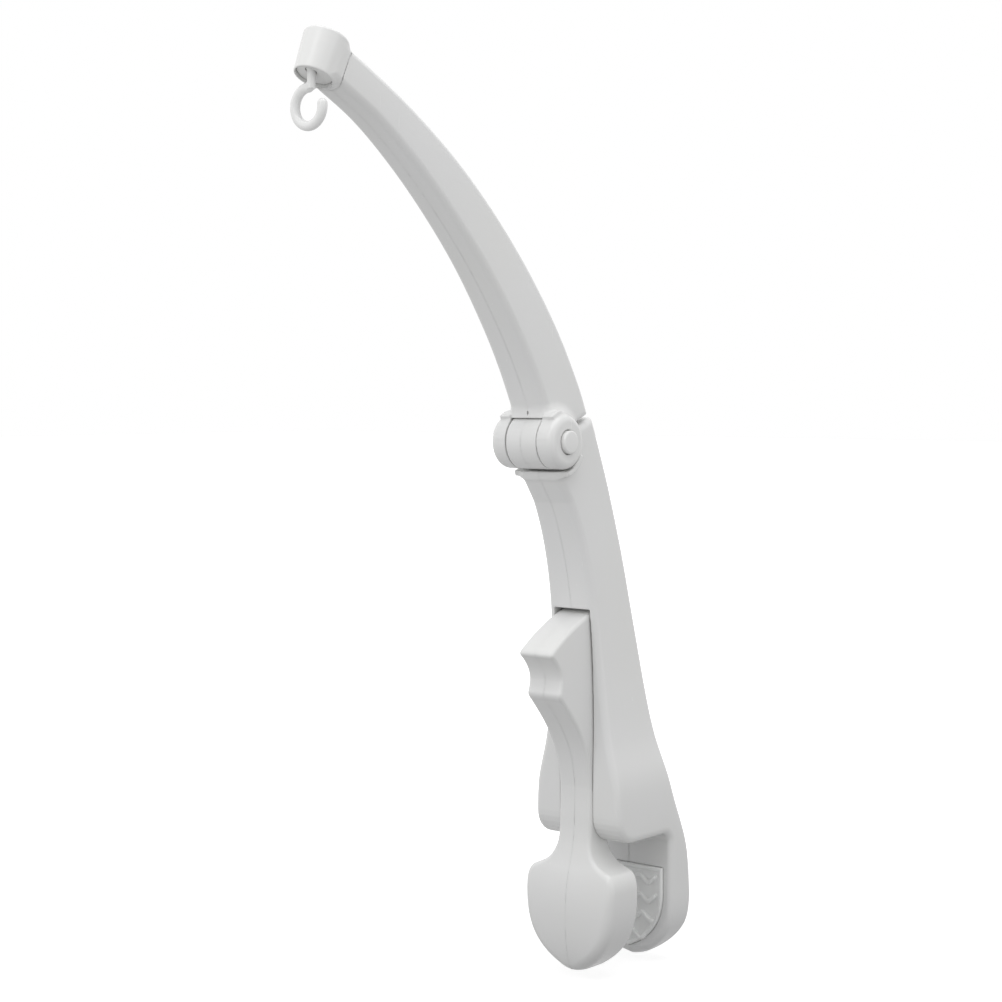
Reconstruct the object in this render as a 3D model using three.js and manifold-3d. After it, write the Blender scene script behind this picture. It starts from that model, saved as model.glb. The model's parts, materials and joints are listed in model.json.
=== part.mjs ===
// Clamp-on folding mobile arm: a curved upper arm with a tip cap and a swivel hook, a push-button
// hinge, and a lower body with a spring clamp. Millimetres, +Z up, +X the way the arm reaches.
// The origin is the middle of the flat that sits on top of the rail, between the two jaws.
import * as THREE from 'three';
import { mergeVertices } from 'three/addons/utils/BufferGeometryUtils.js';
import Module from 'manifold-3d';

const wasm = await Module();
wasm.setup();

// ---------- driving dimensions ----------
const GAP = 0.3;                                  // running gap between neighbours
const SEAM = 0.15;                                // each shell half stops this far from Y = 0
const WALL = 2.4;                                 // wall of the moulded shells
const HINGE = { x: 70, z: 228 };                  // fold axis, along Y
const BARREL_R = 15.1;                            // knuckle and ears
const BARREL_CLEAR_R = 15.9;                      // hollow that the barrel turns in
const KNUCKLE_HALF = 10.6;                        // knuckle of the lower body, half width
const EAR_IN = 11;                                // inner face of each ear
const EAR_OUT = 21.8;                             // outer face of each ear
const EAR_EDGE = 3.6;                             // rounding of an ear's outer edge
const BUTTON_R = 6.4;
const BUTTON_PROUD = 2.2;
const BUTTON_COLLAR_R = 7.5;                      // collar that keeps the button in its ear
const PRESS = 3;                                  // travel of the button and the hub
const HINGE_PIN_R = 3;
const PIN_HEAD = { r: 5.6, y0: -19.2, y1: -17.7 };
const PIN_END_Y = 13.8;
const SPLINES = 6;                                // on the lock hub
const HUB = { r: 7.6, cone: 8.85, low: 4.5, high: 10.9, top: 14.3 };
const HUB_SPLINE = { wide: 3, inner: 6.8, outer: 8.9 };
const PIVOT = { x: 25, z: 52 };                   // lever axis, along Y
const PIVOT_PIN_R = 2.5;
const SLOT_HALF = 12.4;                           // slot in the lower body that the lever swings in
const SLOT_TOP = 134;
const LEVER_HALF = 11.8;
const NECK_HALF = 10.9;
const PADDLE_HALF = 31.3;
const JAW_REAR_X = -17.4;                         // face of the rear jaw
const JAW_FRONT_X = 17;                           // face of the lever's jaw
const JAW_LOW = -78.3;                            // lowest point of the rear jaw
const JAW_WAIST = -38;                            // where its round end begins
const PAD_PROUD = 1.6;                            // pad face over its jaw face
const RIB_HEIGHT = 1.1;
const CAP = { x: 243.5, z: 405.9, tilt: 0.445, low: 10.4, high: 11.9, height: 23, bore: 9.2 };
const PLUG = { r: 8.9, low: 1.6, high: 8.4 };     // heights along the cap's axis
const HOOK = { x: 244.9, z: 391.9, aside: -1.9 }; // middle of the ring, and how far aside of its stem
const HOOK_RING = { r: 9.15, wire: 2.45, tip: 0.1 };
const HOOK_STEM = { r: 2.1, ballR: 2.9, ballZ: 411.1 };
const BARREL_SIDES = 28;
const SCREW = { shaft: 1.4, hole: 1.8, head: 2.7, headThick: 1.8, recess: 3.1, boss: 4.3, length: 15 };

// ---------- materials ----------
function finish(name, color, roughness, metalness) {
  return new THREE.MeshStandardMaterial({ name, color, roughness, metalness });
}
const white = (name, color = 0xf0f1f1) => finish(name, color, 0.28, 0);
const rubber = () => finish('rubber', 0xdadbd9, 0.6, 0);
const steel = () => finish('steel', 0xb9bcc0, 0.3, 1);

// ---------- solids ----------
function signedVolume(position, index) {
  const [a, b, c] = [new THREE.Vector3(), new THREE.Vector3(), new THREE.Vector3()];
  let sum = 0;
  for (let i = 0; i < index.length; i += 3) {
    a.fromBufferAttribute(position, index[i]);
    b.fromBufferAttribute(position, index[i + 1]);
    c.fromBufferAttribute(position, index[i + 2]);
    sum += a.dot(b.cross(c));
  }
  return sum / 6;
}

// A closed three.js geometry as a solid: shared vertices merged, collapsed faces dropped, faces pointing out.
function solidOf(source) {
  const bare = source.clone();
  bare.deleteAttribute('normal');
  bare.deleteAttribute('uv');
  const merged = mergeVertices(bare, 1e-4);
  const index = Array.from(merged.index.array);
  const kept = [];
  for (let i = 0; i < index.length; i += 3) {
    const [a, b, c] = index.slice(i, i + 3);
    if (a !== b && b !== c && a !== c) {
      kept.push(a, b, c);
    }
  }
  if (signedVolume(merged.attributes.position, kept) < 0) {
    kept.reverse();
  }
  const vertProperties = Float32Array.from(merged.attributes.position.array);
  return new wasm.Manifold(new wasm.Mesh({ numProp: 3, vertProperties, triVerts: Uint32Array.from(kept) }));
}

function geometryOf(solid) {
  const mesh = solid.getMesh();
  const geometry = new THREE.BufferGeometry();
  geometry.setAttribute('position', new THREE.BufferAttribute(Float32Array.from(mesh.vertProperties), 3));
  geometry.setIndex(new THREE.BufferAttribute(Uint32Array.from(mesh.triVerts), 1));
  geometry.computeVertexNormals();
  return geometry;
}

function part(name, solid, material) {
  const mesh = new THREE.Mesh(geometryOf(solid), material);
  mesh.name = name;
  return mesh;
}

function polygon(points) {
  return new THREE.Shape(points.map(([x, z]) => new THREE.Vector2(x, z)));
}

// A side outline, drawn in X and Z, made symmetric about Y = 0. widthAt(x, z) tapers its half width.
function sideSolid(shape, half, { edge = 0, widthAt = null, curveSegments = 6, bevelSegments = 2 } = {}) {
  const geometry = new THREE.ExtrudeGeometry(shape, {
    depth: 2 * (half - edge),
    bevelEnabled: edge > 0,
    bevelThickness: edge,
    bevelSize: edge,
    bevelOffset: -edge,
    bevelSegments,
    curveSegments,
  });
  geometry.rotateX(Math.PI / 2);
  geometry.translate(0, half - edge, 0);
  if (widthAt) {
    const p = geometry.attributes.position;
    for (let i = 0; i < p.count; i += 1) {
      p.setY(i, (p.getY(i) * widthAt(p.getX(i), p.getZ(i))) / half);
    }
  }
  return solidOf(geometry);
}

// A front outline, drawn in Y and Z, from x0 to x1.
function frontSolid(shape, x0, x1, { edge = 0, curveSegments = 6, bevelSegments = 2 } = {}) {
  const geometry = new THREE.ExtrudeGeometry(shape, {
    depth: x1 - x0 - 2 * edge,
    bevelEnabled: edge > 0,
    bevelThickness: edge,
    bevelSize: edge,
    bevelOffset: -edge,
    bevelSegments,
    curveSegments,
  });
  geometry.rotateX(Math.PI / 2);
  geometry.rotateZ(Math.PI / 2);
  geometry.translate(x0 + edge, 0, 0);
  return solidOf(geometry);
}

function box(x0, x1, y0, y1, z0, z1) {
  const geometry = new THREE.BoxGeometry(x1 - x0, y1 - y0, z1 - z0);
  geometry.translate((x0 + x1) / 2, (y0 + y1) / 2, (z0 + z1) / 2);
  return solidOf(geometry);
}

// A turned solid about a line along Y through (x, z). The profile is [radius, y] pairs.
function turned(profile, { x, z }, segments = 20) {
  const points = profile.map(([r, y]) => new THREE.Vector2(r, y));
  const geometry = new THREE.LatheGeometry(points, segments);
  geometry.translate(x, 0, z);
  return solidOf(geometry);
}

function rod(r, y0, y1, at, segments = 12) {
  return turned([[0, y0], [r, y0], [r, y1], [0, y1]], at, segments);
}

// Quarter-round corner points for a turned profile, from angle a0 to a1 about (r, y).
function corner(r, y, radius, a0, a1, steps = 3) {
  return Array.from({ length: steps + 1 }, (_, i) => {
    const a = a0 + ((a1 - a0) * i) / steps;
    return [r + radius * Math.cos(a), y + radius * Math.sin(a)];
  });
}

// A ring sector about the hinge, in side view. Angles run from +Z towards +X.
function ringSector(r0, r1, a0, a1, steps = 6) {
  const at = (r, a) => [HINGE.x + r * Math.sin(a), HINGE.z + r * Math.cos(a)];
  const outer = Array.from({ length: steps + 1 }, (_, i) => at(r1, a0 + ((a1 - a0) * i) / steps));
  const inner = Array.from({ length: steps + 1 }, (_, i) => at(r0, a1 + ((a0 - a1) * i) / steps));
  return polygon([...outer, ...inner]);
}

// Straight-line interpolation through [position, value] stations.
function through(stations) {
  return (t) => {
    const last = stations.length - 1;
    if (t <= stations[0][0]) return stations[0][1];
    if (t >= stations[last][0]) return stations[last][1];
    const i = stations.findIndex((s) => s[0] > t);
    const [t0, v0] = stations[i - 1];
    const [t1, v1] = stations[i];
    return v0 + ((v1 - v0) * (t - t0)) / (t1 - t0);
  };
}

// Points along a curve, moved sideways by distance (positive is to the right of travel).
function beside(curve, distance, count = 12) {
  return Array.from({ length: count + 1 }, (_, i) => {
    const p = curve.getPoint(i / count);
    const d = curve.getTangent(i / count);
    return [p.x + d.y * distance, p.y - d.x * distance];
  });
}

const nearHalf = (solid) => solid.subtract(box(-200, 400, -100, SEAM, -200, 600));
const farHalf = (solid) => solid.subtract(box(-200, 400, -SEAM, 100, -200, 600));
const v2 = (x, z) => new THREE.Vector2(x, z);

// ---------- screws: heads on the far side, threads in the near half ----------
const screwSeat = (half) => half - 2.6;

function screwBoss(at, half) {
  return rod(SCREW.boss, -half, half, at, 10);
}

function screwHole(at, half) {
  const seat = screwSeat(half);
  const recess = rod(SCREW.recess, -half - 9, -seat, at, 10);
  const end = SCREW.length - seat + 1.5;
  return recess.add(rod(SCREW.hole, -seat - 1, end, at, 10));
}

function screw(at, half) {
  const seat = screwSeat(half) + GAP;
  const top = seat + SCREW.headThick;
  const end = SCREW.length - seat;
  return turned([
    [0, -top + 0.9], [0.9, -top], [SCREW.head, -top], [SCREW.head, -seat], [SCREW.shaft, -seat],
    [SCREW.shaft, end - 2], [0.4, end], [0, end],
  ], at, 10);
}

// ---------- upper arm ----------
const armFront = new THREE.SplineCurve([
  v2(76.8, 243.6), v2(89.1, 266.8), v2(104.6, 290.5), v2(126.8, 318.6), v2(152.3, 344.8), v2(179.3, 368.5),
  v2(207, 388.5), v2(234.8, 403),
]);
const armBack = new THREE.SplineCurve([
  v2(226.5, 420.6), v2(209.9, 412.6), v2(181.4, 397.1), v2(148.1, 375), v2(117.5, 349.1), v2(90, 320.3),
  v2(65.9, 289.1), v2(48.7, 260.9), v2(39.9, 242.7),
]);
const armWidth = through([[250, 13.4], [290, 12.6], [345, 10.9], [400, 9.7]]);
const armHalf = 13.4;
const middle = (t) => {
  const front = armFront.getPoint(t);
  const back = armBack.getPoint(1 - t);
  return { x: (front.x + back.x) / 2, z: (front.y + back.y) / 2 };
};
const armScrews = [0.14, 0.5, 0.86].map(middle);

function armSolid() {
  const tip = [[242, 406.8], [234.6, 424.4]];
  const root = [[54.5, 236.4], [HINGE.x, HINGE.z]];
  const outline = polygon([...beside(armFront, 0, 11), ...tip, ...beside(armBack, 0, 12), ...root]);
  return sideSolid(outline, armHalf, { edge: 3.2, widthAt: (x, z) => armWidth(z) });
}

function armCavity() {
  const inner = armHalf - WALL;
  const outline = polygon([...beside(armFront, -WALL, 9), ...beside(armBack, -WALL, 9)]);
  const web = rod(BARREL_CLEAR_R + WALL, -50, 50, HINGE);
  const bottom = box(0, 120, -50, 50, 200, 248.5);
  const widthAt = (x, z) => armWidth(z) - WALL;
  const whole = sideSolid(outline, inner, { edge: 1.2, widthAt, bevelSegments: 1 });
  return whole.subtract(web).subtract(bottom).subtract(capBlock(20, 40, 60, 8, 10));
}

function ears() {
  const edge = corner(BARREL_R - EAR_EDGE, EAR_OUT - EAR_EDGE, EAR_EDGE, 0, Math.PI / 2);
  const one = (sign) => turned([
    [0, sign * EAR_IN], [BARREL_R, sign * EAR_IN],
    ...edge.map(([r, y]) => [r, sign * y]), [0, sign * EAR_OUT],
  ], HINGE, BARREL_SIDES);
  return one(1).add(one(-1));
}

// The small hood over the front of each ear, which reaches the lip below when the arm is folded.
function hood() {
  return sideSolid(ringSector(BARREL_R - 1, 17.2, 0.12, 0.64, 5), 18.4, { edge: 0.8, bevelSegments: 1 });
}

function earBores() {
  const coneR = HUB.cone + 0.35;
  const collarR = BUTTON_COLLAR_R + 0.4;
  const doorR = BUTTON_R + 0.35;
  const shoulder = 19;
  const button = turned([
    [0, EAR_IN - 1], [coneR, EAR_IN - 1], [coneR, EAR_IN + 0.1], [collarR, HUB.top], [collarR, shoulder],
    [doorR, shoulder], [doorR, EAR_OUT + 3], [0, EAR_OUT + 3],
  ], HINGE);
  const seat = PIN_HEAD.y1 + GAP;
  const pinR = HINGE_PIN_R + GAP;
  const pin = turned([
    [0, -EAR_OUT - 3], [doorR, -EAR_OUT - 3], [doorR, seat], [pinR, seat],
    [pinR, 1 - EAR_IN], [0, 1 - EAR_IN],
  ], HINGE);
  return button.add(pin);
}

// A block in the cap's own frame: reach along the arm, its middle back from the axis and up it by rise.
function capBlock(reach, width, height, back, rise) {
  const geometry = new THREE.BoxGeometry(reach, width, height);
  geometry.rotateY(-CAP.tilt);
  geometry.translate(
    CAP.x - back * Math.cos(CAP.tilt) - rise * Math.sin(CAP.tilt),
    0,
    CAP.z - back * Math.sin(CAP.tilt) + rise * Math.cos(CAP.tilt),
  );
  return solidOf(geometry);
}

const tongueRise = 14;
const tongueBack = 11.8;
const tipTongue = () => capBlock(9, 9, 8, tongueBack, tongueRise);

function upperArm() {
  const bosses = armScrews.map((at) => screwBoss(at, armWidth(at.z) - 1));
  const between = rod(BARREL_CLEAR_R, -EAR_IN, EAR_IN, HINGE, BARREL_SIDES);
  let solid = armSolid().subtract(armCavity());
  for (const boss of bosses) solid = solid.add(boss);
  solid = solid.subtract(capOuter(GAP));
  solid = solid.add(tipTongue());
  solid = solid.add(hood()).add(ears()).subtract(between).subtract(earBores());
  for (const at of armScrews) solid = solid.subtract(screwHole(at, armWidth(at.z)));
  return solid;
}

// ---------- tip cap, plug and hook: the cap's axis starts at the middle of its bottom ----------
function onCapAxis(geometry) {
  geometry.rotateX(Math.PI / 2);
  geometry.rotateY(-CAP.tilt);
  geometry.translate(CAP.x, 0, CAP.z);
  return solidOf(geometry);
}

function capTurned(profile, segments = 22) {
  return onCapAxis(new THREE.LatheGeometry(profile.map(([r, h]) => v2(r, h)), segments));
}

function capOuter(extra = 0) {
  const round = 1.8;
  const top = CAP.height + extra;
  return capTurned([
    [0, -extra], [CAP.low - 0.8 + extra, -extra], [CAP.low + extra, 0.8 - extra],
    ...corner(CAP.high + extra - round, top - round - 0.6, round, 0, Math.PI / 2, 3),
    [0, top],
  ]);
}

function capInner() {
  const ledge = CAP.bore - 0.6;
  const floor = PLUG.high + GAP;
  return capTurned([
    [0, -1], [CAP.bore, -1], [CAP.bore, floor], [ledge, floor], [ledge + 0.8, 18], [7.4, 20.6], [0, 21],
  ], 16);
}

function tipCap() {
  const window = capBlock(8, 9.8, 8.8, tongueBack - 0.7, tongueRise);
  return capOuter().subtract(capInner()).subtract(window);
}

// The plug closes the cap's bottom. Its socket holds the hook's ball, and the stem hangs out plumb.
function capPlug() {
  const disc = capTurned([[0, PLUG.low], [PLUG.r, PLUG.low], [PLUG.r, PLUG.high], [0, PLUG.high]], 20);
  const socket = new THREE.SphereGeometry(HOOK_STEM.ballR + GAP, 14, 10);
  socket.translate(HOOK.x, 0, HOOK_STEM.ballZ);
  const hole = new THREE.CylinderGeometry(HOOK_STEM.r + GAP, HOOK_STEM.r + GAP, 12, 14);
  hole.rotateX(Math.PI / 2);
  hole.translate(HOOK.x, 0, HOOK_STEM.ballZ - 6);
  return disc.subtract(solidOf(socket)).subtract(solidOf(hole));
}

// A ball, a plumb stem and a C ring in the plane of the stem and Y. Open towards +Y at the top.
function swivelHook() {
  class Ring extends THREE.Curve {
    getPoint(t, target = new THREE.Vector3()) {
      const a = Math.PI / 2 + t * ((3 * Math.PI) / 2 + HOOK_RING.tip);
      const [y, z] = [HOOK_RING.r * Math.cos(a), HOOK_RING.r * Math.sin(a)];
      return target.set(HOOK.x, HOOK.aside + y, HOOK.z + z);
    }
  }
  const section = new THREE.Shape();
  section.absarc(0, 0, HOOK_RING.wire, 0, 2 * Math.PI);
  const ring = new THREE.ExtrudeGeometry(section, { extrudePath: new Ring(), steps: 20, curveSegments: 4 });
  const low = HOOK.z + HOOK_RING.r - 1;
  const stem = new THREE.CylinderGeometry(HOOK_STEM.r, HOOK_STEM.r, HOOK_STEM.ballZ - low, 12);
  stem.rotateX(Math.PI / 2);
  stem.translate(HOOK.x, 0, (HOOK_STEM.ballZ + low) / 2);
  const ball = new THREE.SphereGeometry(HOOK_STEM.ballR, 14, 10);
  ball.translate(HOOK.x, 0, HOOK_STEM.ballZ);
  const end = new THREE.SphereGeometry(HOOK_RING.wire, 8, 6);
  const [tipY, tipZ] = [HOOK_RING.r * Math.cos(HOOK_RING.tip), HOOK_RING.r * Math.sin(HOOK_RING.tip)];
  end.translate(HOOK.x, HOOK.aside + tipY, HOOK.z + tipZ);
  const start = new THREE.SphereGeometry(HOOK_RING.wire, 8, 6);
  start.translate(HOOK.x, HOOK.aside, HOOK.z + HOOK_RING.r);
  return [stem, ring, ball, end, start].map(solidOf).reduce((sum, solid) => sum.add(solid));
}

// ---------- hinge works ----------
function foldButton() {
  const face = EAR_OUT + BUTTON_PROUD;
  const bore = HINGE_PIN_R + GAP;
  const low = HUB.top + 0.4;
  const collar = 18.6;
  const floor = 20;
  return turned([
    [bore, low], [BUTTON_COLLAR_R, low], [BUTTON_COLLAR_R, collar], [BUTTON_R, collar],
    ...corner(BUTTON_R - 1, face - 1, 1, 0, Math.PI / 2, 3),
    [0, face + 0.3], [0, floor], [bore, floor], [bore, low],
  ], HINGE, 20);
}

function lockHub() {
  const bore = HINGE_PIN_R + GAP;
  let solid = turned([
    [bore, HUB.low], [HUB.r, HUB.low], [HUB.r, HUB.high], [HUB.cone, HUB.high], [BUTTON_COLLAR_R, HUB.top],
    [bore, HUB.top], [bore, HUB.low],
  ], HINGE, 18);
  const { wide, inner, outer } = HUB_SPLINE;
  for (let i = 0; i < SPLINES; i += 1) {
    solid = solid.add(spline(i / SPLINES, wide, inner, outer, HUB.low, HUB.high - 0.5));
  }
  return solid;
}

function spline(turn, width, r0, r1, y0, y1) {
  const geometry = new THREE.BoxGeometry(r1 - r0, y1 - y0, width);
  geometry.translate((r0 + r1) / 2, (y0 + y1) / 2, 0);
  geometry.rotateY(turn * 2 * Math.PI);
  geometry.translate(HINGE.x, 0, HINGE.z);
  return solidOf(geometry);
}

function coil({ radius, wire, turns, y0, y1, at, steps }) {
  class Helix extends THREE.Curve {
    getPoint(t, target = new THREE.Vector3()) {
      const a = t * turns * 2 * Math.PI;
      return target.set(at.x + radius * Math.cos(a), y0 + (y1 - y0) * t, at.z + radius * Math.sin(a));
    }
  }
  const section = new THREE.Shape();
  section.absarc(0, 0, wire, 0, 2 * Math.PI);
  return solidOf(new THREE.ExtrudeGeometry(section, { extrudePath: new Helix(), steps, curveSegments: 3 }));
}

function hingePin() {
  const [r, end] = [HINGE_PIN_R, PIN_END_Y];
  return turned([
    [0, PIN_HEAD.y0], [PIN_HEAD.r, PIN_HEAD.y0], [PIN_HEAD.r, PIN_HEAD.y1], [r, PIN_HEAD.y1],
    [r, end - 0.6], [r - 0.6, end], [0, end],
  ], HINGE, 14);
}

function hingeCap() {
  const inside = PIN_HEAD.y0 - GAP;
  return turned([
    [0, -EAR_OUT - 1.1], [5.2, -EAR_OUT - 0.8], [BUTTON_R, -EAR_OUT + 0.2], [BUTTON_R, inside], [0, inside],
  ], HINGE, 20);
}

// ---------- lower body ----------
const bodyWidthTable = [
  [10, 31.2], [30, 29.6], [58, 23.3], [86, 19.7], [121, 17.1], [160, 15.5], [196, 14.2],
];
const bodyWidthAtHeight = through(bodyWidthTable);
const bodyWidth = (x, z) => bodyWidthAtHeight(z);
const bodyHalf = 31.2;
const bodyScrews = [
  { x: 35, z: 184 }, { x: 23, z: 148 }, { x: 0.5, z: 96 }, { x: -12, z: 14 }, { x: -28, z: -40 },
];

const bodyFront = new THREE.CubicBezierCurve(v2(57.8, 194), v2(30.2, 141.5), v2(35.4, 75.2), v2(33.6, 15));
const bodyBack = new THREE.SplineCurve([
  v2(-39.6, -38), v2(-35.6, -9), v2(-21.4, 25.5), v2(-12.2, 61.8), v2(-3, 110.8), v2(8.3, 160.5),
  v2(19.4, 198.3), v2(29.4, 225), v2(36.9, 242),
]);

function arcPoints(x, z, radius, a0, a1, steps = 3) {
  return Array.from({ length: steps + 1 }, (_, i) => {
    const a = a0 + ((a1 - a0) * i) / steps;
    return [x + radius * Math.cos(a), z + radius * Math.sin(a)];
  });
}

function bodyOutline() {
  const [foot, heel] = [15, 9];
  return polygon([
    [HINGE.x, HINGE.z], [68.5, 208.6], [62.8, 202.6],
    ...beside(bodyFront, 0, 8),
    ...arcPoints(18.6, foot, foot, 0, -Math.PI / 2, 4).slice(1),
    [JAW_REAR_X, 0],
    ...arcPoints(JAW_REAR_X - heel, JAW_LOW + heel, heel, 0, -Math.PI / 2),
    [-33.5, JAW_LOW + 4.5], [-37.6, JAW_LOW + 16],
    ...beside(bodyBack, 0, 12),
    [54.3, 234.9],
  ]);
}

function bodyCavity() {
  const front = beside(bodyFront, WALL, 7);
  const back = beside(bodyBack, WALL, 11);
  const outline = polygon([
    ...front, [29, 2 + WALL], [JAW_REAR_X - WALL + 0.5, 2 + WALL],
    [JAW_REAR_X - WALL - 2, -36], [JAW_REAR_X - WALL - 2, JAW_LOW + 12], [-26, JAW_LOW + 8],
    [-33, JAW_LOW + 15], ...back.slice(0, -2), [50, 212],
  ]);
  const upper = box(20, 90, -50, 50, 202.6, 260);
  const widthAt = (x, z) => bodyWidth(x, z) - WALL;
  return sideSolid(outline, bodyHalf - WALL, { widthAt }).subtract(upper);
}

function jawOutline(half, top, bottom, waist) {
  const shape = new THREE.Shape();
  const reach = waist - bottom;
  shape.moveTo(-half, top);
  shape.lineTo(-half, waist);
  shape.bezierCurveTo(-half, waist - reach * 0.46, -half * 0.72, bottom + reach * 0.2, 0, bottom);
  shape.bezierCurveTo(half * 0.72, bottom + reach * 0.2, half, waist - reach * 0.46, half, waist);
  shape.lineTo(half, top);
  return shape;
}

function slotOutline(grow) {
  return polygon([
    [90, SLOT_TOP + grow], [9 + grow, SLOT_TOP + grow], [9 + grow, 24], [15 + grow, -6], [90, -6],
  ]);
}

// The hollow inside the knuckle: the pin's hole, then the socket that the hub slides in, with its splines.
// A counterbore at its mouth lets the hub's cone move in by the button's travel.
function knuckleSocket() {
  const [pinR, hubR, coneR] = [HINGE_PIN_R + GAP, HUB.r + GAP, HUB.cone + 0.35];
  const mouth = HUB.high - PRESS - GAP;
  const floor = -6;
  let solid = turned([
    [0, -12], [pinR, -12], [pinR, floor], [hubR, floor], [hubR, mouth], [coneR, mouth], [coneR, 12], [0, 12],
  ], HINGE, 18);
  const { wide, inner, outer } = HUB_SPLINE;
  for (let i = 0; i < SPLINES; i += 1) {
    solid = solid.add(spline(i / SPLINES, wide + 0.7, inner + 0.2, outer + 0.4, -1, 12));
  }
  return solid;
}

function lip() {
  return sideSolid(ringSector(BARREL_CLEAR_R, 19.8, 3.33, 4.25, 8), 19.6, { edge: 1, bevelSegments: 2 });
}

// The dark line between the knuckle and the top of the web under it.
function knuckleGroove() {
  return sideSolid(ringSector(BARREL_R, BARREL_CLEAR_R, 3, 3.75, 5), KNUCKLE_HALF + 1);
}

function lowerBody() {
  const hanging = jawOutline(bodyHalf + 0.2, 260, JAW_LOW - 0.3, JAW_WAIST);
  const hollow = jawOutline(bodyHalf - 2.2, 260, JAW_LOW + 2.8, JAW_WAIST);
  const outer = sideSolid(bodyOutline(), bodyHalf, { edge: 3.8, widthAt: bodyWidth })
    .intersect(frontSolid(hanging, -60, 110, { curveSegments: 8 }));
  const slotBlock = sideSolid(slotOutline(2), SLOT_HALF + 2);
  const cavity = bodyCavity().subtract(slotBlock).intersect(frontSolid(hollow, -60, 110));
  let solid = outer.subtract(cavity);
  for (const at of bodyScrews) solid = solid.add(screwBoss(at, bodyWidth(at.x, at.z) - 1));
  for (const side of [-1, 1]) {
    const [y0, y1] = [side * SLOT_HALF, side * 22.5].sort((a, b) => a - b);
    solid = solid.add(rod(5.5, y0, y1, PIVOT));
  }
  solid = solid.subtract(sideSolid(slotOutline(0), SLOT_HALF));
  solid = solid.add(lip());
  for (const side of [-1, 1]) {
    const [y0, y1] = [side * (EAR_IN - 0.1), side * 40].sort((a, b) => a - b);
    solid = solid.subtract(rod(BARREL_CLEAR_R, y0, y1, HINGE, BARREL_SIDES));
  }
  solid = solid.add(rod(BARREL_R, -KNUCKLE_HALF, KNUCKLE_HALF, HINGE, BARREL_SIDES));
  solid = solid.subtract(knuckleGroove()).subtract(knuckleSocket());
  solid = solid.subtract(rod(PIVOT_PIN_R + GAP, -18.5, 18.5, PIVOT));
  for (const at of bodyScrews) solid = solid.subtract(screwHole(at, bodyWidth(at.x, at.z)));
  return solid.subtract(padSolid(JAW_REAR_X - 1.8, JAW_REAR_X + 5, GAP));
}

function leverPivotPin() {
  return turned([
    [0, -17.8], [2.1, -17.8], [PIVOT_PIN_R, -17.4], [PIVOT_PIN_R, 17.4], [2.1, 17.8], [0, 17.8],
  ], PIVOT, 12);
}

// ---------- jaw pads ----------
const PAD = { half: 24.4, top: -21.5, waist: -36, bottom: -70.5, ribs: 4, pitch: 11.2 };
const RIB = { half: 1.1, amplitude: 1.9, steps: 15 };

function padSolid(x0, x1, grow = 0) {
  return frontSolid(jawOutline(PAD.half + grow, PAD.top + grow, PAD.bottom - grow, PAD.waist), x0, x1);
}

// A wavy rib across the pad: three half waves, drawn as a band in Y and Z.
function rib(z, half, x0, x1) {
  const wave = (i) => z + RIB.amplitude * Math.sin((i / RIB.steps) * 6 * Math.PI);
  const at = (i) => -half + (2 * half * i) / RIB.steps;
  const steps = Array.from({ length: RIB.steps + 1 }, (_, i) => i);
  const upper = steps.map((i) => [at(i), wave(i) + RIB.half]);
  const lower = steps.map((i) => [at(i), wave(i) - RIB.half]).reverse();
  return frontSolid(polygon([...upper, ...lower]), x0, x1);
}

// facing is +1 for a pad that looks towards +X, -1 for one that looks towards -X.
function jawPad(jawX, facing) {
  const [back, face] = [jawX - facing * 1.5, jawX + facing * PAD_PROUD];
  let solid = padSolid(Math.min(back, face), Math.max(back, face));
  for (let i = 0; i < PAD.ribs; i += 1) {
    const z = PAD.top - 7.4 - i * PAD.pitch;
    const half = i < 2 ? 20 : 18.3 - (i - 2) * 5.5;
    const crest = face + facing * RIB_HEIGHT;
    solid = solid.add(rib(z, half, Math.min(face - facing, crest), Math.max(face - facing, crest)));
  }
  return solid;
}

// ---------- clamp lever ----------
const leverScrews = [{ x: 52, z: 103 }, { x: 28, z: 18 }];

function gripOutline() {
  const shape = new THREE.Shape();
  shape.moveTo(32, 132.2);
  shape.quadraticCurveTo(50, 127.2, 68.2, 114.2);
  shape.quadraticCurveTo(74.3, 110.6, 70.3, 108.2);
  shape.quadraticCurveTo(63, 101.5, 62.8, 95.5);
  shape.quadraticCurveTo(63, 91.5, 64.4, 88.6);
  shape.quadraticCurveTo(65, 86, 62, 83.6);
  shape.bezierCurveTo(45, 64.5, 33, 52.3, 35.4, 13.7);
  shape.lineTo(35.4, -18);
  shape.lineTo(20, -18);
  shape.lineTo(20.4, 0);
  shape.quadraticCurveTo(20, 30, 16.5, 45);
  shape.quadraticCurveTo(14.5, 60, 19, 80);
  shape.lineTo(28, 118);
  return shape;
}

function paddleSide() {
  const shape = new THREE.Shape();
  shape.moveTo(35.4, 14);
  shape.quadraticCurveTo(35.6, 0, 40.8, -15);
  shape.quadraticCurveTo(44, -25, 44.2, -40);
  shape.quadraticCurveTo(44.3, -62, 39.5, -72);
  shape.quadraticCurveTo(37, -76.6, 29, -76.8);
  shape.lineTo(21, -76.8);
  shape.quadraticCurveTo(JAW_FRONT_X, -76.5, JAW_FRONT_X, -72);
  shape.lineTo(JAW_FRONT_X, -14);
  shape.quadraticCurveTo(17.5, -3, 20.4, 8);
  return shape;
}

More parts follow.
